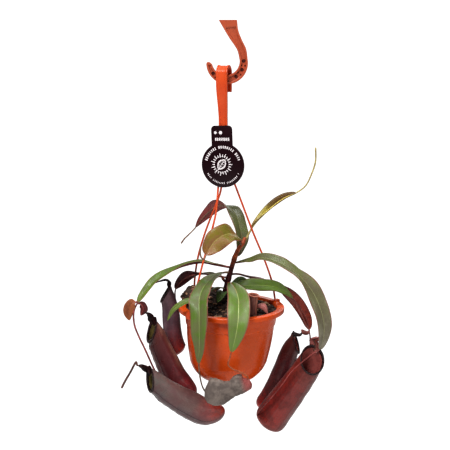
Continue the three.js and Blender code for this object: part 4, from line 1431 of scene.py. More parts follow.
@dataclass
class Soil:
    """Bark mix that fills the pot: its lumpy top, the mound at the left of the rim, and loose chips."""

    pot: Pot
    level: float = -4.0
    inset: float = 0.35
    mound_centre: Row = (-50, 18, 7)
    mound_size: Row = (17, 14, 14)
    chips: int = 330
    crumbs: int = 150
    mound_chips: int = 90
    scatter: float = 55.0
    clear_of_wall: float = 57.5
    rim_edge: float = 58.5
    on_rim: float = 0.6
    seed: int = 11

    def height(self, x: float, y: float) -> float:
        """Height of the top: level at the wall, lumpy inside, heaped at the left rear.

        Args:
            x: Place to the right.
            y: Place to the rear.

        Returns:
            The height.
        """
        edge = 1 - smooth(45, 58, math.hypot(x, y))
        heap = 17 * math.exp(-((x + 36) ** 2 + (y - 24) ** 2) / 620)
        middle = 9 * math.exp(-((x + 8) ** 2 + (y - 14) ** 2) / 900)
        lumps = 1.5 * math.sin(x * 0.43 + 1.3) * math.cos(y * 0.37) + 1.1 * math.sin(x * 0.21 - y * 0.33)
        spot = Vector((x, y, 0))
        crumbs = 1.1 * ripple(spot, 5.0) + 0.7 * ripple(spot, 2.1, 4.0)
        return self.level + edge * (heap + middle + 1 + lumps) + crumbs * smooth(58, 54, math.hypot(x, y))

    def body(self, u: float, v: float) -> Vector:
        """Point of the fill: bottom, side, then the top from the wall to the middle.

        Args:
            u: Share of the turn.
            v: Share of the way along.

        Returns:
            The point.
        """
        wall = [(r - self.inset, z) for r, z in self.pot.inside]
        floor = self.pot.floor + self.inset
        angle = 2 * math.pi * u
        top_share = (self.level - wall[1][1]) / (wall[0][1] - wall[1][1])
        rim = mix(wall[1][0], wall[0][0], top_share)
        floor_end, side_end = 0.06, 0.3
        if v < floor_end:
            radius, z = mix(0, wall[-1][0], v / floor_end), floor
        elif v < side_end:
            rise = (v - floor_end) / (side_end - floor_end)
            radius, z = curve_at([(rim, self.level), *wall[1:-1], (wall[-1][0], floor)], 1 - rise)
        else:
            radius = rim * (1 - (v - side_end) / (1 - side_end))
            z = self.height(*polar(radius, angle)) if v > side_end else self.level
        return Vector((*polar(radius, angle), z))

    def mound(self, u: float, v: float) -> Vector:
        """Point of the mound, which lies on the rim where it is outside the wall.

        Args:
            u: Share of the turn.
            v: Share of the way along.

        Returns:
            The point.
        """
        up = math.pi * (v - 0.5)
        angle = 2 * math.pi * u
        bump = 1 + 0.1 * math.sin(3 * angle + 4 * up) + 0.07 * math.sin(5 * angle - 7 * up)
        x = self.mound_centre[0] + self.mound_size[0] * bump * math.cos(up) * math.cos(angle)
        y = self.mound_centre[1] + self.mound_size[1] * bump * math.cos(up) * math.sin(angle)
        z = self.mound_centre[2] + self.mound_size[2] * bump * math.sin(up)
        rough = ripple(Vector((x, y, z)), 4.0, 2.0) + 0.6 * ripple(Vector((x, y, z)), 1.8)
        z += 0.6 * rough * math.cos(up)
        reach = math.hypot(x, y)
        return Vector((x, y, max(z, self.on_rim) if reach > self.rim_edge else z))

    def chip(self, piece: Piece, draw: random.Random, spot: Vector, size: float, finish: int) -> None:
        """Adds one angular chip of bark, or a crumb, half sunk at a spot.

        Args:
            piece: The soil.
            draw: Source of its random shape.
            spot: Its middle.
            size: Half of its length.
            finish: Index of its material.
        """
        finer = 1 if size < 2 else 2
        made = bmesh.ops.create_icosphere(piece.mesh, subdivisions=finer, radius=1.0)["verts"]
        shape = Matrix.Diagonal((size * draw.uniform(0.8, 1.3), size * draw.uniform(0.45, 0.8),
                                 size * draw.uniform(0.2, 0.45), 1.0))
        spin = Matrix.Rotation(draw.uniform(0, 2 * math.pi), 4, "Z")
        turn = spin @ Matrix.Rotation(draw.gauss(0, 0.5), 4, "X")
        seed = draw.uniform(0, 50)
        for vert in made:
            rough = 1 + 0.35 * ripple(vert.co, 0.7, seed)
            vert.co = spot + turn @ (shape @ (vert.co * rough))
        piece.paint(made, finish)

    def build(self) -> None:
        """Makes the soil and all that lies on it."""
        piece = Piece("soil_bark_mix")
        piece.sheet(150, 110, self.body, 0)
        piece.sheet(60, 40, self.mound, 0)
        piece.weld(0.01)
        draw = random.Random(self.seed)
        for i in range(self.chips + self.crumbs):
            radius = self.scatter * math.sqrt(draw.random())
            angle = draw.uniform(0, 2 * math.pi)
            x, y = polar(radius, angle)
            small = i >= self.chips
            size = draw.uniform(0.7, 1.4) if small else draw.uniform(1.8, 4.6)
            finish = draw.choice((1, 2, 3, 3)) if not small else draw.choice((4, 3, 4))
            spot = Vector((x, y, self.height(x, y) + 0.25 * size))
            if math.hypot(x, y) + size < self.clear_of_wall:
                self.chip(piece, draw, spot, size, finish)
        for _ in range(self.mound_chips):
            spot = self.mound(draw.random(), draw.uniform(0.35, 0.95))
            size = draw.uniform(1.4, 3.6)
            inward = (Vector(self.mound_centre) - spot).normalized()
            self.chip(piece, draw, spot + inward * 0.4 * size + Vector((0, 0, 0.1 * size)), size,
                      draw.choice((1, 2, 3)))
        piece.mesh.transform(self.pot.matrix())
        finishes = [SOIL_BASE, BARK_BROWN, BARK_PALE, BARK_DARK, PERLITE]
        piece.finish([finish.build() for finish in finishes], "soil", "soil_bark", crease=35)


# ---- hanger, label and hook ----
@dataclass
class Hanger:
    """The clip-on hanger: a ribbed strap over the hook and three thin legs that clip on the rim."""

    pot: Pot
    x: float = -11.3
    yaw: float = -19.0
    thickness: float = 4.0
    groove: float = 1.1
    rib: float = 1.7
    low_y: float = -3.0
    bottom: float = 204.0
    arch_z: float = 305.0
    arch_radius: float = 8.9
    tail: float = 281.0
    leg_radius: float = 1.3
    leg_spread: float = 3.9
    clip_width: float = 7.0
    clip_wall: float = 1.4
    clip_seat: float = 66.0
    clip_tongue: float = -2.8
    clip_barb: float = 1.6
    gap: float = 0.3

    def matrix(self) -> Matrix:
        """Turns a piece drawn across X to the hanger's own yaw and place."""
        return Matrix.Translation((self.x, 0, 0)) @ Matrix.Rotation(math.radians(self.yaw), 4, "Z")

    def path(self) -> list[tuple[float, float]]:
        """The strap's middle line, [y, z]: up the front, over the arch, down the back.

        Returns:
            Its points.
        """
        line = [(self.low_y, self.bottom), (self.low_y, 243), (-4.6, 262), (-7.4, 280),
                (-self.arch_radius, 293)]
        for i in range(9):
            y, z = polar(self.arch_radius, math.pi * (1 - i / 8))
            line.append((y, self.arch_z + z))
        return line + [(self.arch_radius, 292), (self.arch_radius, self.tail)]

    def strap(self) -> None:
        """Makes the strap."""
        path = self.path()
        wall = self.thickness / 2

        def section(half: float) -> list[Vector]:
            """Closed outline of the strap: two raised edges with a groove between, on both faces.

            Args:
                half: Half of the strap's width.

            Returns:
                Its points.
            """
            face = [(-half, wall), (-half + self.rib, wall), (-half + self.rib + 0.5, wall - self.groove),
                    (0, wall - self.groove * 0.8), (half - self.rib - 0.5, wall - self.groove),
                    (half - self.rib, wall), (half, wall)]
            loop = face + [(-x, -up) for x, up in face]
            return rounded([(x, up, 0) for x, up in (loop[-1], *loop, loop[0])], 0.5, 3)[1:-1]

        count = len(section(7.0))

        def place(u: float, v: float) -> Vector:
            """Point of the strap's skin.

            Args:
                u: Share of the way round the section.
                v: Share of the length.

            Returns:
                The point.
            """
            y, z = curve_at(path, v)
            before, after = curve_at(path, max(v - 0.004, 0)), curve_at(path, min(v + 0.004, 1))
            run = Vector((after[0] - before[0], after[1] - before[1])).normalized()
            half = table_at([(200, 5.8), (250, 5.6), (285, 7.2), (400, 7.5)], z)
            across, up, _ = section(half)[round(u * count) % count]
            return Vector((across, y - run.y * up, z + run.x * up))

        piece = Piece("hanger_strap_band")
        piece.sheet(count, 150, place)
        piece.weld(0.005)
        piece.cap()
        piece.weld(0.005)
        piece.mesh.transform(self.matrix())
        piece.finish([HANGER_PLASTIC.build()], "hanger_strap", "hanger_plastic", crease=38)

    def leg(self, node: str, slot: int, degrees: float, rows: Rows) -> None:
        """Makes one leg with its clip.

        Args:
            node: Its CAD node.
            slot: Its place across the strap's end.
            degrees: Its angle round the rim.
            rows: Its run between the strap and the clip.
        """
        top = self.matrix() @ Vector((slot * self.leg_spread, self.low_y, self.bottom - self.gap))
        seat = Vector((*polar(self.clip_seat, math.radians(degrees)), 1))
        foot = Matrix.Rotation(math.radians(self.pot.tilt), 3,
                               "Y") @ seat + Vector((self.pot.centre_x, 0, 0))
        route = [list(top), [top.x, top.y, top.z - 9], *rows, list(foot)]
        piece = Piece(node + "_wire")
        piece.tube(route, [(0, self.leg_radius), (1, self.leg_radius)], 16, 120, bumps=0.05)
        piece.weld(0.005)
        self.clip(piece, degrees)
        piece.finish([HANGER_PLASTIC.build()], node, "hanger_plastic", crease=40)

    def clip(self, piece: Piece, degrees: float) -> None:
        """Adds the clip that straddles the rim at an angle.

        Args:
            piece: The leg.
            degrees: Angle round the rim.
        """
        inside = self.pot.inside[0][0] - 4 * self.gap
        outside = self.pot.rim_radius + self.gap
        under = -self.pot.skirt - self.gap
        top = self.gap + self.clip_wall
        barb = outside - self.clip_barb
        outline = [(inside - self.clip_wall, top), (inside - self.clip_wall, self.clip_tongue),
                   (inside, self.clip_tongue), (inside, self.gap), (outside, self.gap), (outside, under),
                   (barb, under), (barb, under - 1), (outside + self.clip_wall, under - 1),
                   (outside + self.clip_wall, top)]
        turn = self.pot.matrix() @ Matrix.Rotation(math.radians(degrees), 4, "Z")
        corners = [turn @ Vector((r, -self.clip_width / 2, z)) for r, z in outline]
        piece.prism(corners, (turn.to_3x3() @ Vector((0, 1, 0))).normalized(), self.clip_width, 0.3)

    def build(self) -> None:
        """Makes the strap and the three legs."""
        self.strap()
        self.leg("hanger_leg_front", -1, 218,
                 [(-18.7, -0.4, 160), (-20, -4, 144), (-22, -9, 125), (-26, -14, 108), (-34, -21, 79),
                  (-41, -27, 54), (-48, -34, 25)])
        self.leg("hanger_leg_rear", 0, 140,
                 [(-15, 8, 156), (-22, 14, 133), (-30, 21, 112), (-38, 27, 89), (-46, 35, 60),
                  (-51, 41, 28)])
        self.leg("hanger_leg_right", 1, 26.5,
                 [(-6.5, -1.5, 186), (3, 5, 161), (26, 14, 99), (41, 20, 62), (53, 26, 27)])


@dataclass
class Label:
    """The round hanging label with a generic white print."""

    hanger: Hanger
    offset: float = -1.4
    radius: float = 29.0
    neck_half: float = 14.3
    neck_top: float = 239.0
    centre_z: float = 188.0
    thickness: float = 1.0
    corner: float = 5.0
    swing: float = 2.2
    print_height: float = 0.06
    word_z: float = 219.6
    dots_z: float = 230.0
    seed: int = 4

    def matrix(self) -> Matrix:
        """Swings and places a piece drawn flat in X and Z, with its back at y 0.

        Returns:
            The turn and place.
        """
        face = self.hanger.low_y - self.hanger.thickness / 2 - self.hanger.gap
        turn = Matrix.Rotation(math.radians(-self.swing), 4, "Y")
        swing = (Matrix.Translation((0, face, self.neck_top)) @ turn
                 @ Matrix.Translation((0, 0, -self.neck_top)))
        return self.hanger.matrix() @ swing

    def outline(self) -> list[Vector]:
        """Corners of the label: its disc and its rounded neck.

        Returns:
            The corners in order.
        """
        shoulder = math.degrees(math.acos(self.neck_half / self.radius))
        arcs = [(self.offset, self.centre_z, self.radius, 180 - shoulder, 360 + shoulder, 90),
                (self.offset + self.neck_half - self.corner, self.neck_top - self.corner, self.corner, 0,
                 90, 10),
                (self.offset - self.neck_half + self.corner, self.neck_top - self.corner, self.corner, 90,
                 180, 10)]
        return [Vector((x + radius * math.cos(angle), 0, z + radius * math.sin(angle)))
                for x, z, radius, low, high, steps in arcs
                for angle in (math.radians(mix(low, high, i / steps)) for i in range(steps + 1))]

    def mark(self, piece: Piece, outline: Rows, turn: Matrix) -> None:
        """Adds one printed mark, a thin slab on the label's face.

        Args:
            piece: The label.
            outline: Corners of the mark, [x, z].
            turn: Places the print on the label's face.
        """
        front = -self.thickness - self.print_height
        corners = [turn @ Vector((x, front, z)) for x, z in outline]
        normal = (turn.to_3x3() @ Vector((0, 1, 0))).normalized()
        piece.prism(corners, normal, 2 * self.print_height, finish=1)

    def build(self) -> None:
        """Makes the label and its print."""
        piece = Piece("hanging_label_card")
        turn = self.matrix()
        corners = [turn @ point for point in self.outline()]
        piece.prism(corners, (turn.to_3x3() @ Vector((0, -1, 0))).normalized(), self.thickness, 0.2)
        self.emblem(piece, turn)
        self.ring_of_marks(piece, turn)
        piece.finish([LABEL_CARD.build(), LABEL_INK.build()], "hanging_label", "label_print", crease=30)

    def emblem(self, piece: Piece, turn: Matrix) -> None:
        """Prints a plain sunburst round a leaf.

        Args:
            piece: The label.
            turn: Places the print on the label's face.
        """
        x, z = self.offset - 1.5, self.centre_z + 1.0
        rays, near, far = 22, 9.6, (14.8, 13.0)
        for i in range(rays):
            angle = 2 * math.pi * i / rays
            ray = [(near, -0.95), (far[i % 2], -0.3), (far[i % 2], 0.3), (near, 0.95)]
            self.mark(piece, self.turned(ray, angle, x, z), turn)
        steps, length, half, line = 18, 17.0, 5.6, 1.9
        lean = math.radians(52)
        for side in (-1, 1):
            edge = [(length * (i / steps - 0.5), side * half * math.sin(math.pi * i / steps) ** 0.8)
                    for i in range(steps + 1)]
            for (a, b), (c, d) in zip(edge, edge[1:]):
                quad = [(a, b), (c, d), (c * 0.97, d - side * min(line, abs(d))),
                        (a * 0.97, b - side * min(line, abs(b)))]
                if abs(b) > 0.01 and abs(d) > 0.01:
                    self.mark(piece, self.turned(quad, lean, x, z), turn)
            for i in (-1, 0, 1):
                vein = [(3.6 * i - 0.9, 0), (3.6 * i - 0.2, 0), (3.6 * i + 1.9, side * 2.6),
                        (3.6 * i + 1.4, side * 2.7)]
                self.mark(piece, self.turned(vein, lean, x, z), turn)
        rib = [(-length / 2, -0.7), (length / 2, -0.3), (length / 2, 0.3), (-length / 2, 0.7)]
        self.mark(piece, self.turned(rib, lean, x, z), turn)

    @staticmethod
    def turned(outline: Rows, angle: float, x: float, z: float) -> Rows:
        """Outline turned by an angle and moved to a place on the label.

        Args:
            outline: Points (x, z) round a flat form.
            angle: Turn, in radians.
            x: Place across.
            z: Place upward.

        Returns:
            The outline's points in their new place.
        """
        return [(x + a * math.cos(angle) - b * math.sin(angle),
                 z + a * math.sin(angle) + b * math.cos(angle))
                for a, b in outline]

    def ring_of_marks(self, piece: Piece, turn: Matrix) -> None:
        """Prints short bars in a ring, and a row of bars and two dots on the neck.

        Args:
            piece: The label.
            turn: Places the print on the label's face.
        """
        draw = random.Random(self.seed)
        circle, word = 23.4, 9
        for low, high, count, size in ((18, 162, 22, 3.7), (208, 332, 24, 2.3)):
            for i in range(count):
                if i % word == word // 2:
                    continue
                angle = math.radians(mix(low, high, i / (count - 1)))
                tall, wide = size * draw.uniform(0.85, 1.0) / 2, 0.52 * size * draw.uniform(0.6, 1.0) / 2
                bar = [(circle - tall, -wide), (circle + tall, -wide), (circle + tall, wide),
                       (circle - tall, wide)]
                self.mark(piece, self.turned(bar, angle, self.offset, self.centre_z), turn)
        for i in range(8):
            bar = [(0, 0), (1.7, 0), (1.7, 3.8), (0, 3.8)]
            self.mark(piece, self.turned(bar, 0.0, self.offset - 9.2 + 2.5 * i, self.word_z), turn)
        corners = 14
        for x, radius in ((self.offset - 8.6, 1.9), (self.offset - 1.5, 2.3)):
            dot = [polar(radius, 2 * math.pi * i / corners) for i in range(corners)]
            self.mark(piece, self.turned(dot, 0.0, x, self.dots_z), turn)


@dataclass
class BracketHook:
    """The moulded hook: an I-section that runs from its flat top round the bowl to its tip."""

    top_z: float = 372.0
    top_left: float = -18.0
    top_right: float = 5.2
    thickness: float = 7.5
    bowl: Row = (-9, 320.5, 17.7)
    back: Row = (-7.3, 318, 26.5)
    outer: Rows = ((6.9, 359), (11.5, 347), (16.9, 335.6))
    inner: Rows = ((-5.3, 350.6), (5.2, 334.9))
    recess: float = 2.6
    flange: float = 2.4
    hole_angles: Sequence[float] = (4, -26, -56, -112, -140)
    brace_angles: Sequence[float] = (-11, -41, -126)
    hole_centre: Row = (-8.2, 319.2)
    hole_circle: float = 22.0
    hole_radius: float = 2.3
    brace_offset: float = 2.1
    brace_radius: float = 1.0
    pocket_skin: float = 0.3
    pocket_depth: float = 6.0
    arm: float = 0.4
    arm_end: float = 0.15

    def edges_at(self, v: float) -> tuple[Vector, Vector]:
        """Outer and inner edge points, [x, z].

        Args:
            v: Share of the hook's length.

        Returns:
            The two points.
        """
        back, bowl = Vector(self.back[:2]), Vector(self.bowl[:2])
        if v <= self.arm:
            end = back + Vector(polar(self.back[2], self.arm_end))
            bowl_end = bowl + Vector((self.bowl[2], 1.0))
            share = v / self.arm
            return (Vector(curve_at([(self.top_right, self.top_z), *self.outer, end], share)),
                    Vector(curve_at([(self.top_left, self.top_z), *self.inner, bowl_end], share)))
        share = (v - self.arm) / (1 - self.arm)
        out = math.radians(mix(math.degrees(self.arm_end), -186, share))
        inn = math.radians(mix(3.2, -172, share))
        return back + Vector(polar(self.back[2], out)), bowl + Vector(polar(self.bowl[2], inn))

    def build(self) -> None:
        """Makes the hook, with the round pockets in its web, whose walls are darkened with painted shade.
        """
        half = self.thickness / 2

        def section(width: float, web: float) -> list[Vector]:
            """Closed I-shaped outline, [outer to inner, depth].

            Args:
                width: From the outer to the inner edge.
                web: Half thickness of the web.

            Returns:
                Its points.
            """
            flange = min(self.flange, width * 0.3)
            slope = min(0.5, width * 0.05)
            side = [(0, -half), (flange, -half), (flange + slope, -web), (width / 2, -web),
                    (width - flange - slope, -web), (width - flange, -half), (width, -half)]
            loop = side + [(width - d, -y) for d, y in side]
            return rounded([(depth, y, 0) for depth, y in (loop[-1], *loop, loop[0])], 0.45, 3)[1:-1]

        count = len(section(10, 1.5))

        def place(u: float, v: float) -> Vector:
            """Point of the hook's skin.

            Args:
                u: Share of the way round the section.
                v: Share of the length.

            Returns:
                The point.
            """
            far, near = self.edges_at(v)
            width = (near - far).length
            solid = max(smooth(0.075, 0.055, v), smooth(0.955, 0.975, v))
            web = mix(half - self.recess, half, solid)
            tip = smooth(0.9, 1.0, v)
            depth, y, _ = section(width, web)[round(u * count) % count]
            if tip > 0:
                narrow = math.sqrt(max(1 - (max(v - 0.97, 0) / 0.03) ** 2, 0.0))
                depth = width / 2 + (depth - width / 2) * mix(1, narrow, tip)
            spot = far + (near - far).normalized() * depth
            return Vector((spot.x, y, spot.y))

        piece = Piece("bracket_hook_moulding")
        piece.sheet(count, 170, place)
        piece.weld(0.005)
        piece.cap()
        piece.weld(0.005)
        holes = Piece("hook_punches")
        for degrees in self.hole_angles:
            self.pocket(holes, degrees, self.hole_circle, self.hole_radius)
        for degrees in self.brace_angles:
            for side in (-1, 1):
                self.pocket(holes, degrees, self.hole_circle + side * self.brace_offset, self.brace_radius)
        piece.finish([HOOK_PLASTIC.build(), HOOK_POCKET_PAINTED_SHADE.build()], "bracket_hook", "hook_plastic", crease=38,
                     holes=holes)

    def pocket(self, holes: Piece, degrees: float, circle: float, radius: float) -> None:
        """Adds the punches of one blind pocket, from both sides of the web; the pocket walls take the dark
        material, which paints the shade in the pocket.

        Args:
            holes: The piece that gathers the punches.
            degrees: Its angle round the bowl.
            circle: Its distance from the bowl's middle.
            radius: Its own radius.
        """
        x, z = Vector(self.hole_centre) + Vector(polar(circle, math.radians(degrees)))
        for side in (-1, 1):
            y = side * (self.pocket_skin + self.pocket_depth / 2)
            place = Matrix.Translation((x, y, z)) @ Matrix.Rotation(math.pi / 2, 4, "X")
            made = bmesh.ops.create_cone(holes.mesh, cap_ends=True, segments=24, radius1=radius,
                                         radius2=radius, depth=self.pocket_depth, matrix=place)["verts"]
            # painted shade: the pocket walls get the dark second material
            holes.paint(made, 1)


# ---- stem ----
@dataclass
class Stem:
    """The knotted woody stem with its side bud and the clasping bases of old leaves."""

    rows: Rows = ((-13, 13, -14), (-12, 13, -1), (-11, 12, 9), (-9, 11, 21), (-4, 10, 39), (1, 9, 57),
                  (6, 9, 71), (13, 10, 82), (17, 12, 90))
    radii: Table = (
        (0, 3.4), (0.2, 3.6), (0.25, 4.2), (0.3, 3.5), (0.42, 3.4), (0.47, 4), (0.52, 3.3), (0.62, 3.1),
        (0.66, 3.7), (0.71, 3), (0.82, 2.8), (0.88, 3.2), (0.93, 2.6), (1, 2.2))
    bud: Rows = ((-8, 10, 28), (-12, 6.5, 34), (-15, 5, 40))

    def build(self) -> None:
        """Makes the stem."""
        piece = Piece("stem_bark")
        piece.tube(self.rows, self.radii, 40, 200, bumps=0.35)
        piece.tube(self.bud, [(0, 1.2), (0.6, 2), (1, 0.6)], 20, 30, bumps=0.2)
        piece.weld(0.01)
        piece.finish([STEM_SKIN.build()], "stem", "stem_skin", crease=80)


# ---- finishes ----
def rib(name: str, body: str, blotch: str, speck: str) -> Tissue:
    """Midrib and tendril of a leaf in its own colours."""
    return Tissue(name, body, blotch, speck, scale=90, relief=0.0002, specks=0.15)


def bark(name: str, body: str, blotch: str, speck: str, gloss: Gloss = Gloss(0.7, 0.9)) -> Tissue:
    """Rough bark of a chip in its own colours."""
    return Tissue(name, body, blotch, speck, scale=240, relief=0.0008, gloss=gloss)


POT_PLASTIC = Plastic("pot plastic", "c64a14", "d46024", "983408", Gloss(0.26, 0.42, specular=0.3),
                      grain=500.0)
HANGER_PLASTIC = Plastic("hanger plastic", "c8481e", "dc6434", "9a3010", Gloss(0.3, 0.42, specular=0.4),
                         grain=1100.0)
HOOK_PLASTIC = Plastic("hook plastic", "a84c30", "bc6244", "74301c", Gloss(0.36, 0.5, specular=0.4),
                       relief=0.0001)
# painted shade: dark plastic for the walls of the hook's pockets, where shade falls
HOOK_POCKET_PAINTED_SHADE = Plastic("hook pocket painted shade", "4a140c", "561c12", "2a0a06", Gloss(0.5, 0.6, specular=0.3))
LABEL_CARD = Plastic("label card", "1e060e", "2c0e18", "0c0306", Gloss(0.24, 0.4, specular=0.25),
                     grain=1500.0, relief=0.00003)
LABEL_INK = Plastic("label ink", "e6dfe0", "f4f0f0", "b8aab0", Gloss(0.4, 0.5), grain=1500.0)
SOIL_BASE = Tissue("soil", "3c2a20", "20150f", "7c6654", scale=160, specks=0.5, relief=0.0012,
                   gloss=Gloss(0.8, 0.95))
BARK_BROWN = bark("bark chip brown", "6a4632", "3e281e", "98765c")
BARK_PALE = bark("bark chip pale", "a08064", "6c4e3a", "c8aa8e")
BARK_DARK = bark("bark chip dark", "2e1f1a", "1a100d", "5e4638", Gloss(0.6, 0.85))
PERLITE = Tissue("perlite", "a89888", "7c6a5c", "d8ccbe", scale=500, relief=0.0005, gloss=Gloss(0.8, 0.95))
STEM_SKIN = Tissue("stem bark", "a84e22", "6c2c14", "cc8048", scale=130, relief=0.0005,
                   gloss=Gloss(0.45, 0.7), start="4c161a", start_at=0.62)
WITHERED_SKIN = Tissue("withered skin", "766a62", "544a46", "94867c", scale=60, relief=0.0006, specks=0.2,
                       gloss=Gloss(0.6, 0.85), start="8e4a46")
WITHERED_FLAP = Tissue("withered flap", "8c4e28", "6a3420", "a06a3c", scale=60, amount=0.6, relief=0.0002)
MAROON_FLAP = Tissue("maroon flap", "5e1a1a", "3a0e12", "7c2e24", scale=60, amount=0.6, relief=0.0002)
GREEN_RIB = rib("leaf rib green", "a4a060", "7e7a48", "8c5a44")
PITCHER_TAIL = rib("pitcher tail", "5e3a30", "3a2620", "7e5c50")
MAROON_RIB = rib("leaf rib maroon", "8a3c38", "54201f", "b06c60")
RED_RIB = rib("leaf rib red", "7c4038", "4e2622", "a8705c")
TAN_RIB = rib("leaf rib tan", "8a6a52", "5e463a", "b89a78")
ORANGE_RIB = rib("leaf rib orange", "a85c38", "7c3a28", "c88a5c")
MAROON_UNDER = LeafSkin("leaf under maroon", ((0, "7a3a36"), (0.5, "6e2e2e"), (1, "743a34")), "5a2226",
                        "9a5048", "4e2020", blotches=0.5)
GREEN_UNDER = LeafSkin("leaf under brown", ((0, "8a6a4c"), (0.5, "7c4e40"), (1, "6e3c34")), "6a3834",
                       "a87858", "5a2c28", blotches=0.6)
DARK_LIP = Tissue("pitcher lip dark", "22090c", "140507", "3c1418", scale=200, relief=0.0001, specks=0.2,
                  gloss=Gloss(0.3, 0.42, specular=0.35), ribs=90)
OLIVE_INSIDE = Tissue("pitcher inside olive", "7c6c40", "54482c", "3c1c1c", scale=160, specks=0.5,
                      gloss=Gloss(0.3, 0.5, coat=0.2))
RED_INSIDE = Tissue("pitcher inside red", "a05a54", "84423e", "4c1c1e", scale=140, specks=0.4,
                    gloss=Gloss(0.26, 0.45, coat=0.3))
TAN_LIP = Tissue("small pitcher lip", "b4705a", "94503e", "6c3428", scale=300, relief=0.0001, ribs=40,
                 gloss=Gloss(0.4, 0.6))
TAN_INSIDE = Tissue("small pitcher inside", "8c5a48", "5c3228", "3c1c18", scale=200)
DARK_NECK = LeafSkin("pitcher neck dark", ((0, "3a1e1e"), (0.5, "201012"), (1, "1c0c0e")), "120809",
                     "4a2422", "0c0506", blotches=0.6, gloss=Gloss(0.4, 0.6, specular=0.2))


def green(name: str, stops: Stops, blotch: str = "6a6a48", midrib: str = "aeb07a", margin: str = "8a5a4c",
          spots: float = 0.25) -> LeafSkin:
    """Upper side of a green leaf, with its own colours from stalk to tip."""
    return LeafSkin(name, stops, blotch, midrib, margin, spots=spots, midrib_width=0.022)


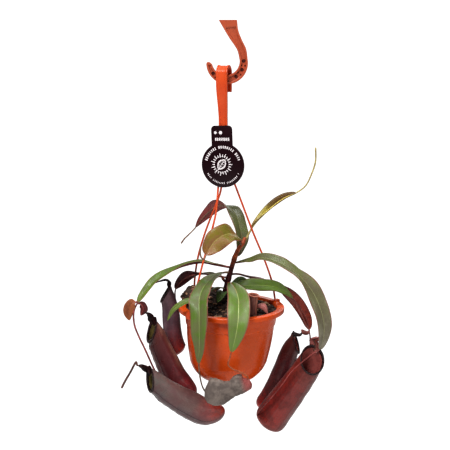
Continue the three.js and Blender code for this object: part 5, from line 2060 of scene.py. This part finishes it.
def leaves() -> list[Leaf]:
    """The plant's leaves, from the newest to the dried one on the soil.

    Returns:
        The leaves in the order in which they are built.
    """
    return [
        Leaf("leaf_new", "leaf_golden_blade",
             Blade(((17, 12, 86), (28, 22, 105), (46, 28, 122, 25), (66, 32, 137, 30), (85, 34, 146, 20),
                    (97, 35, 155), (104, 36, 168), (110, 36, 187), (110, 36, 207)),
                   5, 8, peak=0.6, fold=40, wave=0.3, waves=2, stalk=0.16),
             LeafSkin("new leaf upper", ((0, "9a7a3a"), (0.35, "a0923c"), (0.6, "5a3c0e"), (1, "543608")),
                      "4a300a", "d8c870", "3c2606", blotches=0.5, spots=0.0, midrib_width=0.08,
                      margin_width=0.1),
             LeafSkin("new leaf under", ((0, "a8843a"), (0.35, "a89a44"), (0.6, "6a4c14"), (1, "5c3e0c")),
                      "4a2e08", "d8cc78", "3c2608", blotches=0.5, spots=0.0, midrib_width=0.08,
                      margin_width=0.16),
             Tissue("new leaf rib", "b8a868", "8c7a4c", "8a5a3a", scale=90, relief=0.0002)),
        Leaf("leaf_top", "leaf_olive_blade",
             Blade(((3, 9, 62), (9, 16, 72), (12, 21, 84), (10, 27, 98), (5, 38, 114), (-6, 52, 124, 15),
                    (-20, 66, 124, 45), (-32, 78, 113, 55), (-43, 88, 100, 50), (-52, 94, 87, 30),
                    (-62, 98, 76), (-67, 99, 71), (-72, 98, 64)),
                   10, 11.5, fold=14, wave=1.5, waves=4, stalk=0.02),
             green("top leaf upper", ((0, "50461e"), (0.25, "565c34"), (0.6, "54583a"), (1, "54382c")),
                   "504c34", "78784e", "7c5446"),
             LeafSkin("top leaf under", ((0, "7a5a48"), (0.4, "86584e"), (0.6, "84403c"), (1, "7a3838")),
                      "6a2e30", "a06458", "5c2a2c", blotches=0.5),
             TAN_RIB),
        Leaf("leaf_olive", "leaf_olive_blade",
             Blade(((11, 9, 79, -10), (8, -4, 92, -30), (-4, -16, 100, -45), (-18, -30, 97, -50),
                    (-28, -40, 88, -50), (-34, -46, 78, -40), (-37, -48, 73), (-41, -49, 78),
                    (-41, -48, 90)),
                   6, 15, peak=0.55, fold=8, wave=2.6, waves=2.6, stalk=0.1),
             green("olive leaf upper", ((0, "594a18"), (0.35, "6e6722"), (0.75, "766526"), (1, "855028")),
                   "84503a", "968850", "84503c"),
             LeafSkin("olive leaf under", ((0, "705038"), (0.5, "8a5844"), (1, "9c5c4a")), "7a4438",
                      "a47858", "7c4438"),
             TAN_RIB),
        Leaf("leaf_right", "leaf_blade",
             Blade(((1, 9, 56, 15), (22, -4, 62, 35), (38, -14, 68, 35), (61, -26, 63, 20),
                    (82, -35, 51, 12), (98, -41, 35, 30), (109, -45, 16, 45), (116, -47, -6, 50),
                    (117, -47, -27, 50), (112, -45, -47, 45), (104, -47, -51), (91, -44, -63),
                    (77, -39, -78), (64, -36, -98), (48, -30, -121), (37, -21, -137), (33, -9, -148),
                    (37, -1, -157), (47, 0, -160)),
                   10, 12, peak=0.6, fold=20, wave=1.2, waves=4, stalk=0.0, tip=0.85),
             green("right leaf upper", ((0, "505c24"), (0.3, "5a6234"), (0.6, "686648"), (1, "7c7668")),
                   "584e3c", "86885c", "7c4c44"),
             MAROON_UNDER, MAROON_RIB),
        Leaf("leaf_long", "leaf_blade",
             Blade(((-1, 9, 50), (-23, 18, 52), (-43, 22, 54), (-70, 20, 48, -5), (-97, 14, 35, -25),
                    (-114, 8, 20, -40), (-126, 2, 3, -40), (-131, -1, -9), (-130, -5, -25), (-124, -9, -40),
                    (-117, -12, -54), (-110, -13, -70), (-104, -13, -84), (-96, -11, -100), (-83, -8, -120),
                    (-66, -6, -136), (-53, -6, -138), (-54, -6, -125)),
                   7, 8.5, peak=0.62, fold=20, wave=0.7, waves=3, stalk=0.02, tip=1.35),
             green("long leaf upper", ((0, "485422"), (0.45, "545f2a"), (0.6, "576e2a"), (1, "6a812a")),
                   "525434", "8c9458", "7a3c34", spots=0.1),
             MAROON_UNDER, MAROON_RIB,
             flaps=(Blade(((-126, 2, 5), (-133, 0, 3, -70), (-138, -1, -7, -80), (-137, -2, -20, -80)), 4,
                          8,
                          fold=8, wave=0.4, steps=40),
                    Blade(((-126, 2, 3), (-121, 1, 2, -60), (-118, 1, -5, -80), (-122, 1, -14, -80)), 4,
                          6.5,
                          fold=8, wave=0.4, steps=40))),
        Leaf("leaf_maroon", "leaf_maroon_blade",
             Blade(((-5, 10, 36), (-15, 12, 37), (-27, 17, 38), (-41, 23, 38, 10), (-55, 28, 35, 45),
                    (-67, 34, 27, 60), (-77, 38, 13, 60), (-78, 43, -3), (-79, 45, -28), (-77, 46, -50),
                    (-73, 45, -66), (-70, 38, -73), (-71, 28, -70)),
                   7, 9, peak=0.62, fold=12, wave=0.9, waves=3, stalk=0.1),
             green("maroon leaf upper", ((0, "485722"), (0.4, "484c24"), (0.6, "3b2215"), (1, "39150d")),
                   "301c18", "6a5a3e", "3c1614"),
             LeafSkin("maroon leaf under", ((0, "5a2a28"), (0.5, "4a1e20"), (1, "521f22")), "381418",
                      "6e3632", "341416", blotches=0.6),
             RED_RIB),
        Leaf("leaf_front_left", "leaf_blade",
             Blade(((-3, 10, 43), (-14, -1, 45), (-27, -22, 42), (-37, -49, 37), (-42, -68, 27),
                    (-42, -79, 12), (-42, -84, -10), (-42, -84, -32), (-43, -80, -55), (-42, -58, -80),
                    (-39, -24, -106), (-32, -14, -120), (-20, -16, -131), (-12, -26, -134),
                    (-15, -43, -130)),
                   9, 13, peak=0.5, fold=12, wave=1.3, waves=4, stalk=0.1),
             green("front left leaf upper",
                   ((0, "3f541c"), (0.35, "4a6522"), (0.7, "576e2c"), (1, "566e2a")),
                   "665c48", "8c9a5e", "7c4c40"),
             GREEN_UNDER, TAN_RIB),
        Leaf("leaf_front", "leaf_blade",
             Blade(((-7, 10, 29), (-2, -4, 31), (3, -25, 29), (7, -52, 22), (7, -72, 12), (6, -82, -1),
                    (3, -84, -19), (-2, -82, -39), (-4, -83, -46), (-6, -83, -55), (0, -82, -61),
                    (10, -80, -66), (18, -77, -72), (19, -75, -77)),
                   8, 15, peak=0.5, fold=14, wave=1.2, waves=3, stalk=0.1),
             green("front leaf upper", ((0, "4a6120"), (0.35, "567226"), (0.7, "637d35"), (1, "657f36")),
                   "6a6e4c", "a6b072", "825444"),
             GREEN_UNDER, ORANGE_RIB),
        Leaf("leaf_right_low", "leaf_blade",
             Blade(((-8, 11, 25), (4, 4, 26, 20), (16, 0, 27, 35), (34, 2, 27, 40), (53, 8, 24, 40),
                    (69, 11, 17, 40), (81, 14, 6, 40), (83, 14, 3), (90, 14, -12), (99, 12, -30),
                    (104, 10, -38)),
                   7, 10.5, fold=14, wave=0.9, waves=3, stalk=0.1),
             green("low right leaf upper", ((0, "3b4e19"), (0.4, "4c6320"), (0.8, "576e26"), (1, "5d6329")),
                   "48522e", "7c8c48", "5e3e34"),
             GREEN_UNDER, RED_RIB,
             knob=(((104, 10, -38), (100, 9, -40), (96, 8, -39), (92, 8, -35)),
                   ((0, 1), (0.3, 2.8), (0.7, 3.2), (1, 1)))),
        Leaf("leaf_behind", "leaf_maroon_blade",
             Blade(((-4, 11, 40), (8, 19, 39), (20, 30, 33), (40, 42, 25), (63, 50, 14, -25),
                    (78, 54, 1, -50), (92, 56, -15, -60), (102, 55, -32, -60), (106, 52, -48, -40),
                    (108, 54, -62), (107, 57, -80), (99, 59, -99), (79, 61, -132), (60, 58, -154),
                    (49, 50, -166), (46, 42, -166), (47, 40, -155)),
                   9, 9.5, peak=0.66, fold=16, wave=0.9, waves=3, stalk=0.12),
             LeafSkin("rear leaf upper", ((0, "3c1e1a"), (0.4, "562820"), (0.7, "84382a"), (1, "84362a")),
                      "5e241c", "9c5440", "4a1e1c", blotches=0.6),
             LeafSkin("rear leaf under", ((0, "3c1c1c"), (0.4, "5a2620"), (0.7, "86382a"), (1, "86362a")),
                      "5e221e", "a05a42", "4a1c1c", blotches=0.6),
             RED_RIB),
        Leaf("leaf_left_small", "leaf_blade",
             Blade(((-9, 12, 20), (-19, -4, 26), (-32, -24, 25, -10), (-48, -45, 20, -20),
                    (-63, -47, 16, -30), (-76, -48, 7, -30), (-84, -47, -8, -30)),
                   7, 4.6, peak=0.5, fold=14, wave=0.5, waves=2, stalk=0.14, tip=0.8),
             green("small left leaf upper", ((0, "42521d"), (0.5, "576a25"), (1, "67762a")), "56643a",
                   "8c9c58", "6a6a44", 0.1),
             GREEN_UNDER, GREEN_RIB),
        Leaf("leaf_low", "leaf_blade",
             Blade(((-11, 12, 13), (-11, 2, 18), (-15, -11, 18, -10), (-20, -23, 10, -20)),
                   4, 7, fold=14, wave=0.5, waves=2, stalk=0.14, tip=0.8, steps=50),
             green("low leaf upper", ((0, "394e1a"), (1, "526e28")), "3e5630", "84985c", "4c5a34", 0.1),
             GREEN_UNDER, GREEN_RIB),
        Leaf("leaf_rear_small", "leaf_blade",
             Blade(((-10, 12, 17), (3, 21, 24, 10), (14, 29, 27, 30), (25, 36, 23, 30)),
                   4, 7.5, fold=14, wave=0.5, waves=2, stalk=0.14, tip=0.8, steps=50),
             green("small rear leaf upper", ((0, "394e1a"), (1, "506c28")), "3e5630", "84985c", "4c5a34",
                   0.1),
             GREEN_UNDER, GREEN_RIB),
        Leaf("leaf_dried", "dried_leaf",
             Blade(((28, -21, -3), (33, -23, 7, 20), (41, -28, 6, 30), (46, -30, -4, 30)),
                   4, 5.8, fold=-20, wave=0.6, waves=2, stalk=0.0, tip=0.8, steps=50),
             LeafSkin("dried leaf upper", ((0, "9a5a52"), (0.5, "b4706a"), (1, "8c5048")), "7a4440",
                      "c08a80", "7a4a44", blotches=0.7, gloss=Gloss(0.6, 0.8)),
             LeafSkin("dried leaf under", ((0, "8a5a4c"), (1, "94605a")), "6a4440", "a88070", "6a4440",
                      gloss=Gloss(0.6, 0.8)),
             TAN_RIB),
    ]


def pitchers() -> list[Pitcher]:
    """The hanging pitchers, from the front left round to the small one in the soil.

    Returns:
        The pitchers in the order in which they are built.
    """
    return [
        Pitcher("pitcher_front_left", "pitcher_grey_skin",
                Cup(((-10, -43, -130), (-25, -44, -132), (-39, -45, -130), (-56, -46, -121),
                     (-71, -47, -112), (-87, -47, -102), (-98, -48, -93), (-107, -48, -86)),
                    18, 0.4, 0.68, (-0.3, -0.6, -0.75), 38, lip=0.85, wing=1.1,
                    neck=Blade(((-113, -43, -69), (-118, -48, -66), (-123, -51, -66), (-125, -51, -62),
                                (-132, -51, -75), (-139, -51, -87), (-144, -52, -97)), 5, 10.5, peak=0.3,
                               fold=-50, tip=1.5)),
                PitcherSkin("grey pitcher", ((0, "d03d11"), (0.16, "c0432e"), (0.36, "9c4c46"),
                                             (0.58, "6e5854"), (1, "5e5652")), "5c3638", "966c64", "846763",
                            lit=0.34, shade="32202a", shading=0.85),
                DARK_LIP, OLIVE_INSIDE, DARK_NECK),
        Pitcher("pitcher_mid_left", "pitcher_grey_skin",
                Cup(((-53, -6, -128), (-62, -6, -116), (-77, -6, -97), (-87, -6, -75), (-96, -6, -55),
                     (-102, -6, -41), (-107, -6, -32)),
                    16.6, 0.3, 0.7, (-0.85, -0.55, -0.3), 42, lip=0.85, wing=1.1,
                    neck=Blade(((-106, 0, -13), (-110, -4, -9), (-117, -8, -7)), 5, 10.5, peak=0.3,
                               fold=-45)),
                # its ridge colour is a painted highlight, lying on the lit side of its back
                PitcherSkin("mid pitcher", ((0, "a82f31"), (0.3, "903438"), (0.6, "6a2b30"), (1, "5a2f2a")),
                            "46161a", "8c534a", "6a3d3a", lit=0.4, shade="341417", ridge="8a685a",
                            highlight_band_amount=0.8, highlight_band_at=0.37),
                DARK_LIP, OLIVE_INSIDE, DARK_NECK),
        Pitcher("pitcher_rear_left", "pitcher_grey_skin",
                Cup(((-72, 27, -74), (-77, 27, -65), (-81, 27, -48), (-83, 27, -22), (-86, 27, -4),
                     (-90, 27, 10)),
                    13.6, 0.17, 0.7, (-1, -0.08, 0), 42, lip=0.7, columns=120,
                    neck=Blade(((-83, 28, 25), (-90, 26, 30), (-105, 24, 25)), 5, 7, peak=0.3,
                               fold=-40)),
                PitcherSkin("rear left pitcher", ((0, "d4360b"), (0.27, "c03412"), (0.45, "7a3435"),
                                                  (0.7, "6a4f58"), (1, "624a4d")), "402b33", "846871",
                            "765e6b", lit=0.18, shade="3c1012"),
                DARK_LIP, OLIVE_INSIDE, DARK_NECK),
        Pitcher("pitcher_front_right", "pitcher_red_skin",
                Cup(((46, 2, -167), (51, 0, -159), (59, -3, -145), (73, -8, -123), (87, -14, -100),
                     (98, -19, -81), (105, -22, -68)),
                    22, 0.24, 0.74, (0.05, -1, -0.2), 36, lip=0.6, columns=170, wing=0.5,
                    neck=Blade(((108, -9, -44), (111, -17, -38), (106, -27, -36), (99, -34, -38)),
                               6, 6.5, peak=0.3, fold=-25)),
                PitcherSkin("front right pitcher", ((0, "a02f1c"), (0.35, "8a2820"), (0.7, "74221e"),
                                                    (1, "7c362e")), "48100c", "a85346", "743631", lit=0.88,
                            shade="3a1014", wing="4a1a1a", wings=0.15),
                DARK_LIP, RED_INSIDE,
                LeafSkin("front right lid", ((0, "9c6058"), (0.6, "94504a"), (1, "6a2e2c")), "6c3432",
                         "b07468", "2c0c10", blotches=0.5)),
        Pitcher("pitcher_rear_right", "pitcher_red_skin",
                Cup(((45, 40, -160), (48, 40, -152), (54, 39, -141), (64, 36, -118), (74, 33, -88),
                     (80, 32, -72), (87, 31, -60)),
                    16.5, 0.22, 0.66, (1, -0.3, -0.7), 42, lip=0.6,
                    neck=Blade(((92, 32, -48), (95, 30, -44)), 4, 7, peak=0.3, fold=-40)),
                PitcherSkin("rear right pitcher", ((0, "bc3428"), (0.45, "b43c38"), (0.72, "6a3438"),
                                                   (1, "663b35")), "461417", "944843", "6c3f3f", lit=0.6,
                            shade="38141e", shading=0.5),
                DARK_LIP, RED_INSIDE, DARK_NECK),
        Pitcher("pitcher_small", "dried_leaf",
                Cup(((25, -37, -11), (25, -38, -4), (25, -37, 6), (26, -36, 15), (27, -35, 23)),
                    6.2, 0.4, 0.98, (0, -1, 0), 12, wing=0.7, lip=0.6, columns=90, steps=60, dents=0.3),
                PitcherSkin("small pitcher", ((0, "7a4a3c"), (0.5, "8c5848"), (1, "a46e58")), "5c3228",
                            "b08a74", "947060", gloss=Gloss(0.5, 0.7)),
                TAN_LIP, TAN_INSIDE),
    ]


# ---- studio ----
@dataclass
class Studio:
    """Plain pale floor, soft lights, and the camera."""

    floor_z: float = -1.0
    half_width: float = 6.0
    camera_at: Row = (-0.0036, -1.378, -0.013)
    camera_pitch: float = 79.7
    lens: float = 85.7
    glow: float = 1.1
    glow_share: float = 0.93
    sky: float = 0.2

    def build_floor(self) -> None:
        """Makes the flat pale floor, which shows white to the camera under the plant."""
        mesh = bmesh.new()
        bmesh.ops.create_grid(mesh, x_segments=2, y_segments=2, size=self.half_width)
        bmesh.ops.translate(mesh, verts=mesh.verts, vec=(0, 0, self.floor_z))
        data = bpy.data.meshes.new("studio_floor")
        mesh.to_mesh(data)
        mesh.free()
        floor = bpy.data.objects.new("studio_floor", data)
        bpy.context.scene.collection.objects.link(floor)
        material, bench, shader = new_material("pale floor", Gloss(0.8, 0.9, specular=0.1))
        tint = mottle(bench, bench.object_place(), 0.7, 0.3, colour("f6f5f3"), "f1f0ee")
        bench.feed(shader.inputs["Base Color"], tint.outputs["Color"])
        shader.inputs["Roughness"].default_value = 0.85
        glow = bench.node("Emission")
        glow.inputs["Strength"].default_value = self.glow
        seen = bench.times(bench.node("LightPath").outputs["Is Camera Ray"], self.glow_share)
        mixed = bench.node("MixShader")
        for index, part in enumerate((seen, shader.outputs[0], glow.outputs[0])):
            bench.feed(mixed.inputs[index], part)
        bench.feed(material.node_tree.nodes["Material Output"].inputs["Surface"], mixed.outputs[0])
        data.materials.append(material)

    def build_lights(self) -> None:
        """Places the soft key, fill and top lights, and a white world."""
        for name, place, target, size, power in (
                ("key", (-0.7, -1.5, 1.3), (0, 0, -0.3), 0.8, 40),
                ("fill", (1.7, -1.3, 0.3), (0, 0, -0.35), 1.4, 9),
                ("top", (0.1, -0.1, 1.5), (0, 0, -0.3), 0.9, 22),
                ("back", (0.6, 1.9, 0.6), (0, 0, -0.3), 1.6, 10)):
            light = bpy.data.lights.new(name, "AREA")
            light.shape = "DISK"
            light.size = size
            light.energy = power
            lamp = bpy.data.objects.new(name, light)
            lamp.location = place
            lamp.rotation_euler = (Vector(target) - Vector(place)).to_track_quat("-Z", "Y").to_euler()
            bpy.context.scene.collection.objects.link(lamp)
        world = bpy.data.worlds.new("studio")
        world.use_nodes = True
        bench = Bench(world.node_tree)
        seen = bench.node("LightPath").outputs["Is Camera Ray"]
        background = world.node_tree.nodes["Background"]
        background.inputs["Color"].default_value = (1, 1, 1, 1)
        bench.feed(background.inputs["Strength"], bench.span(seen, 0.0, 1.0, self.sky, 1.0))
        bpy.context.scene.world = world

    def build_camera(self) -> None:
        """Sets the camera level with the label, looking slightly down."""
        data = bpy.data.cameras.new("camera")
        data.lens = self.lens
        data.sensor_width = 36.0
        camera = bpy.data.objects.new("camera", data)
        camera.location = self.camera_at
        camera.rotation_euler = (math.radians(self.camera_pitch), 0, 0)
        bpy.context.scene.collection.objects.link(camera)
        bpy.context.scene.camera = camera

    def build(self) -> None:
        """Makes the whole studio."""
        self.build_camera()
        self.build_floor()
        self.build_lights()
        bpy.context.scene.view_settings.view_transform = "Standard"
        bpy.context.scene.view_settings.look = "Medium High Contrast"


def main() -> None:
    """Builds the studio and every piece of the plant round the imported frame."""
    logging.basicConfig(level=logging.INFO, format="%(message)s")
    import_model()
    Studio().build()
    pot = Pot()
    pot.build()
    Soil(pot).build()
    hanger = Hanger(pot)
    hanger.build()
    Label(hanger).build()
    BracketHook().build()
    Stem().build()
    for leaf in leaves():
        leaf.build()
    for pitcher in pitchers():
        pitcher.build()
    WitheredPitcher().build()


if __name__ == "__main__":
    main()
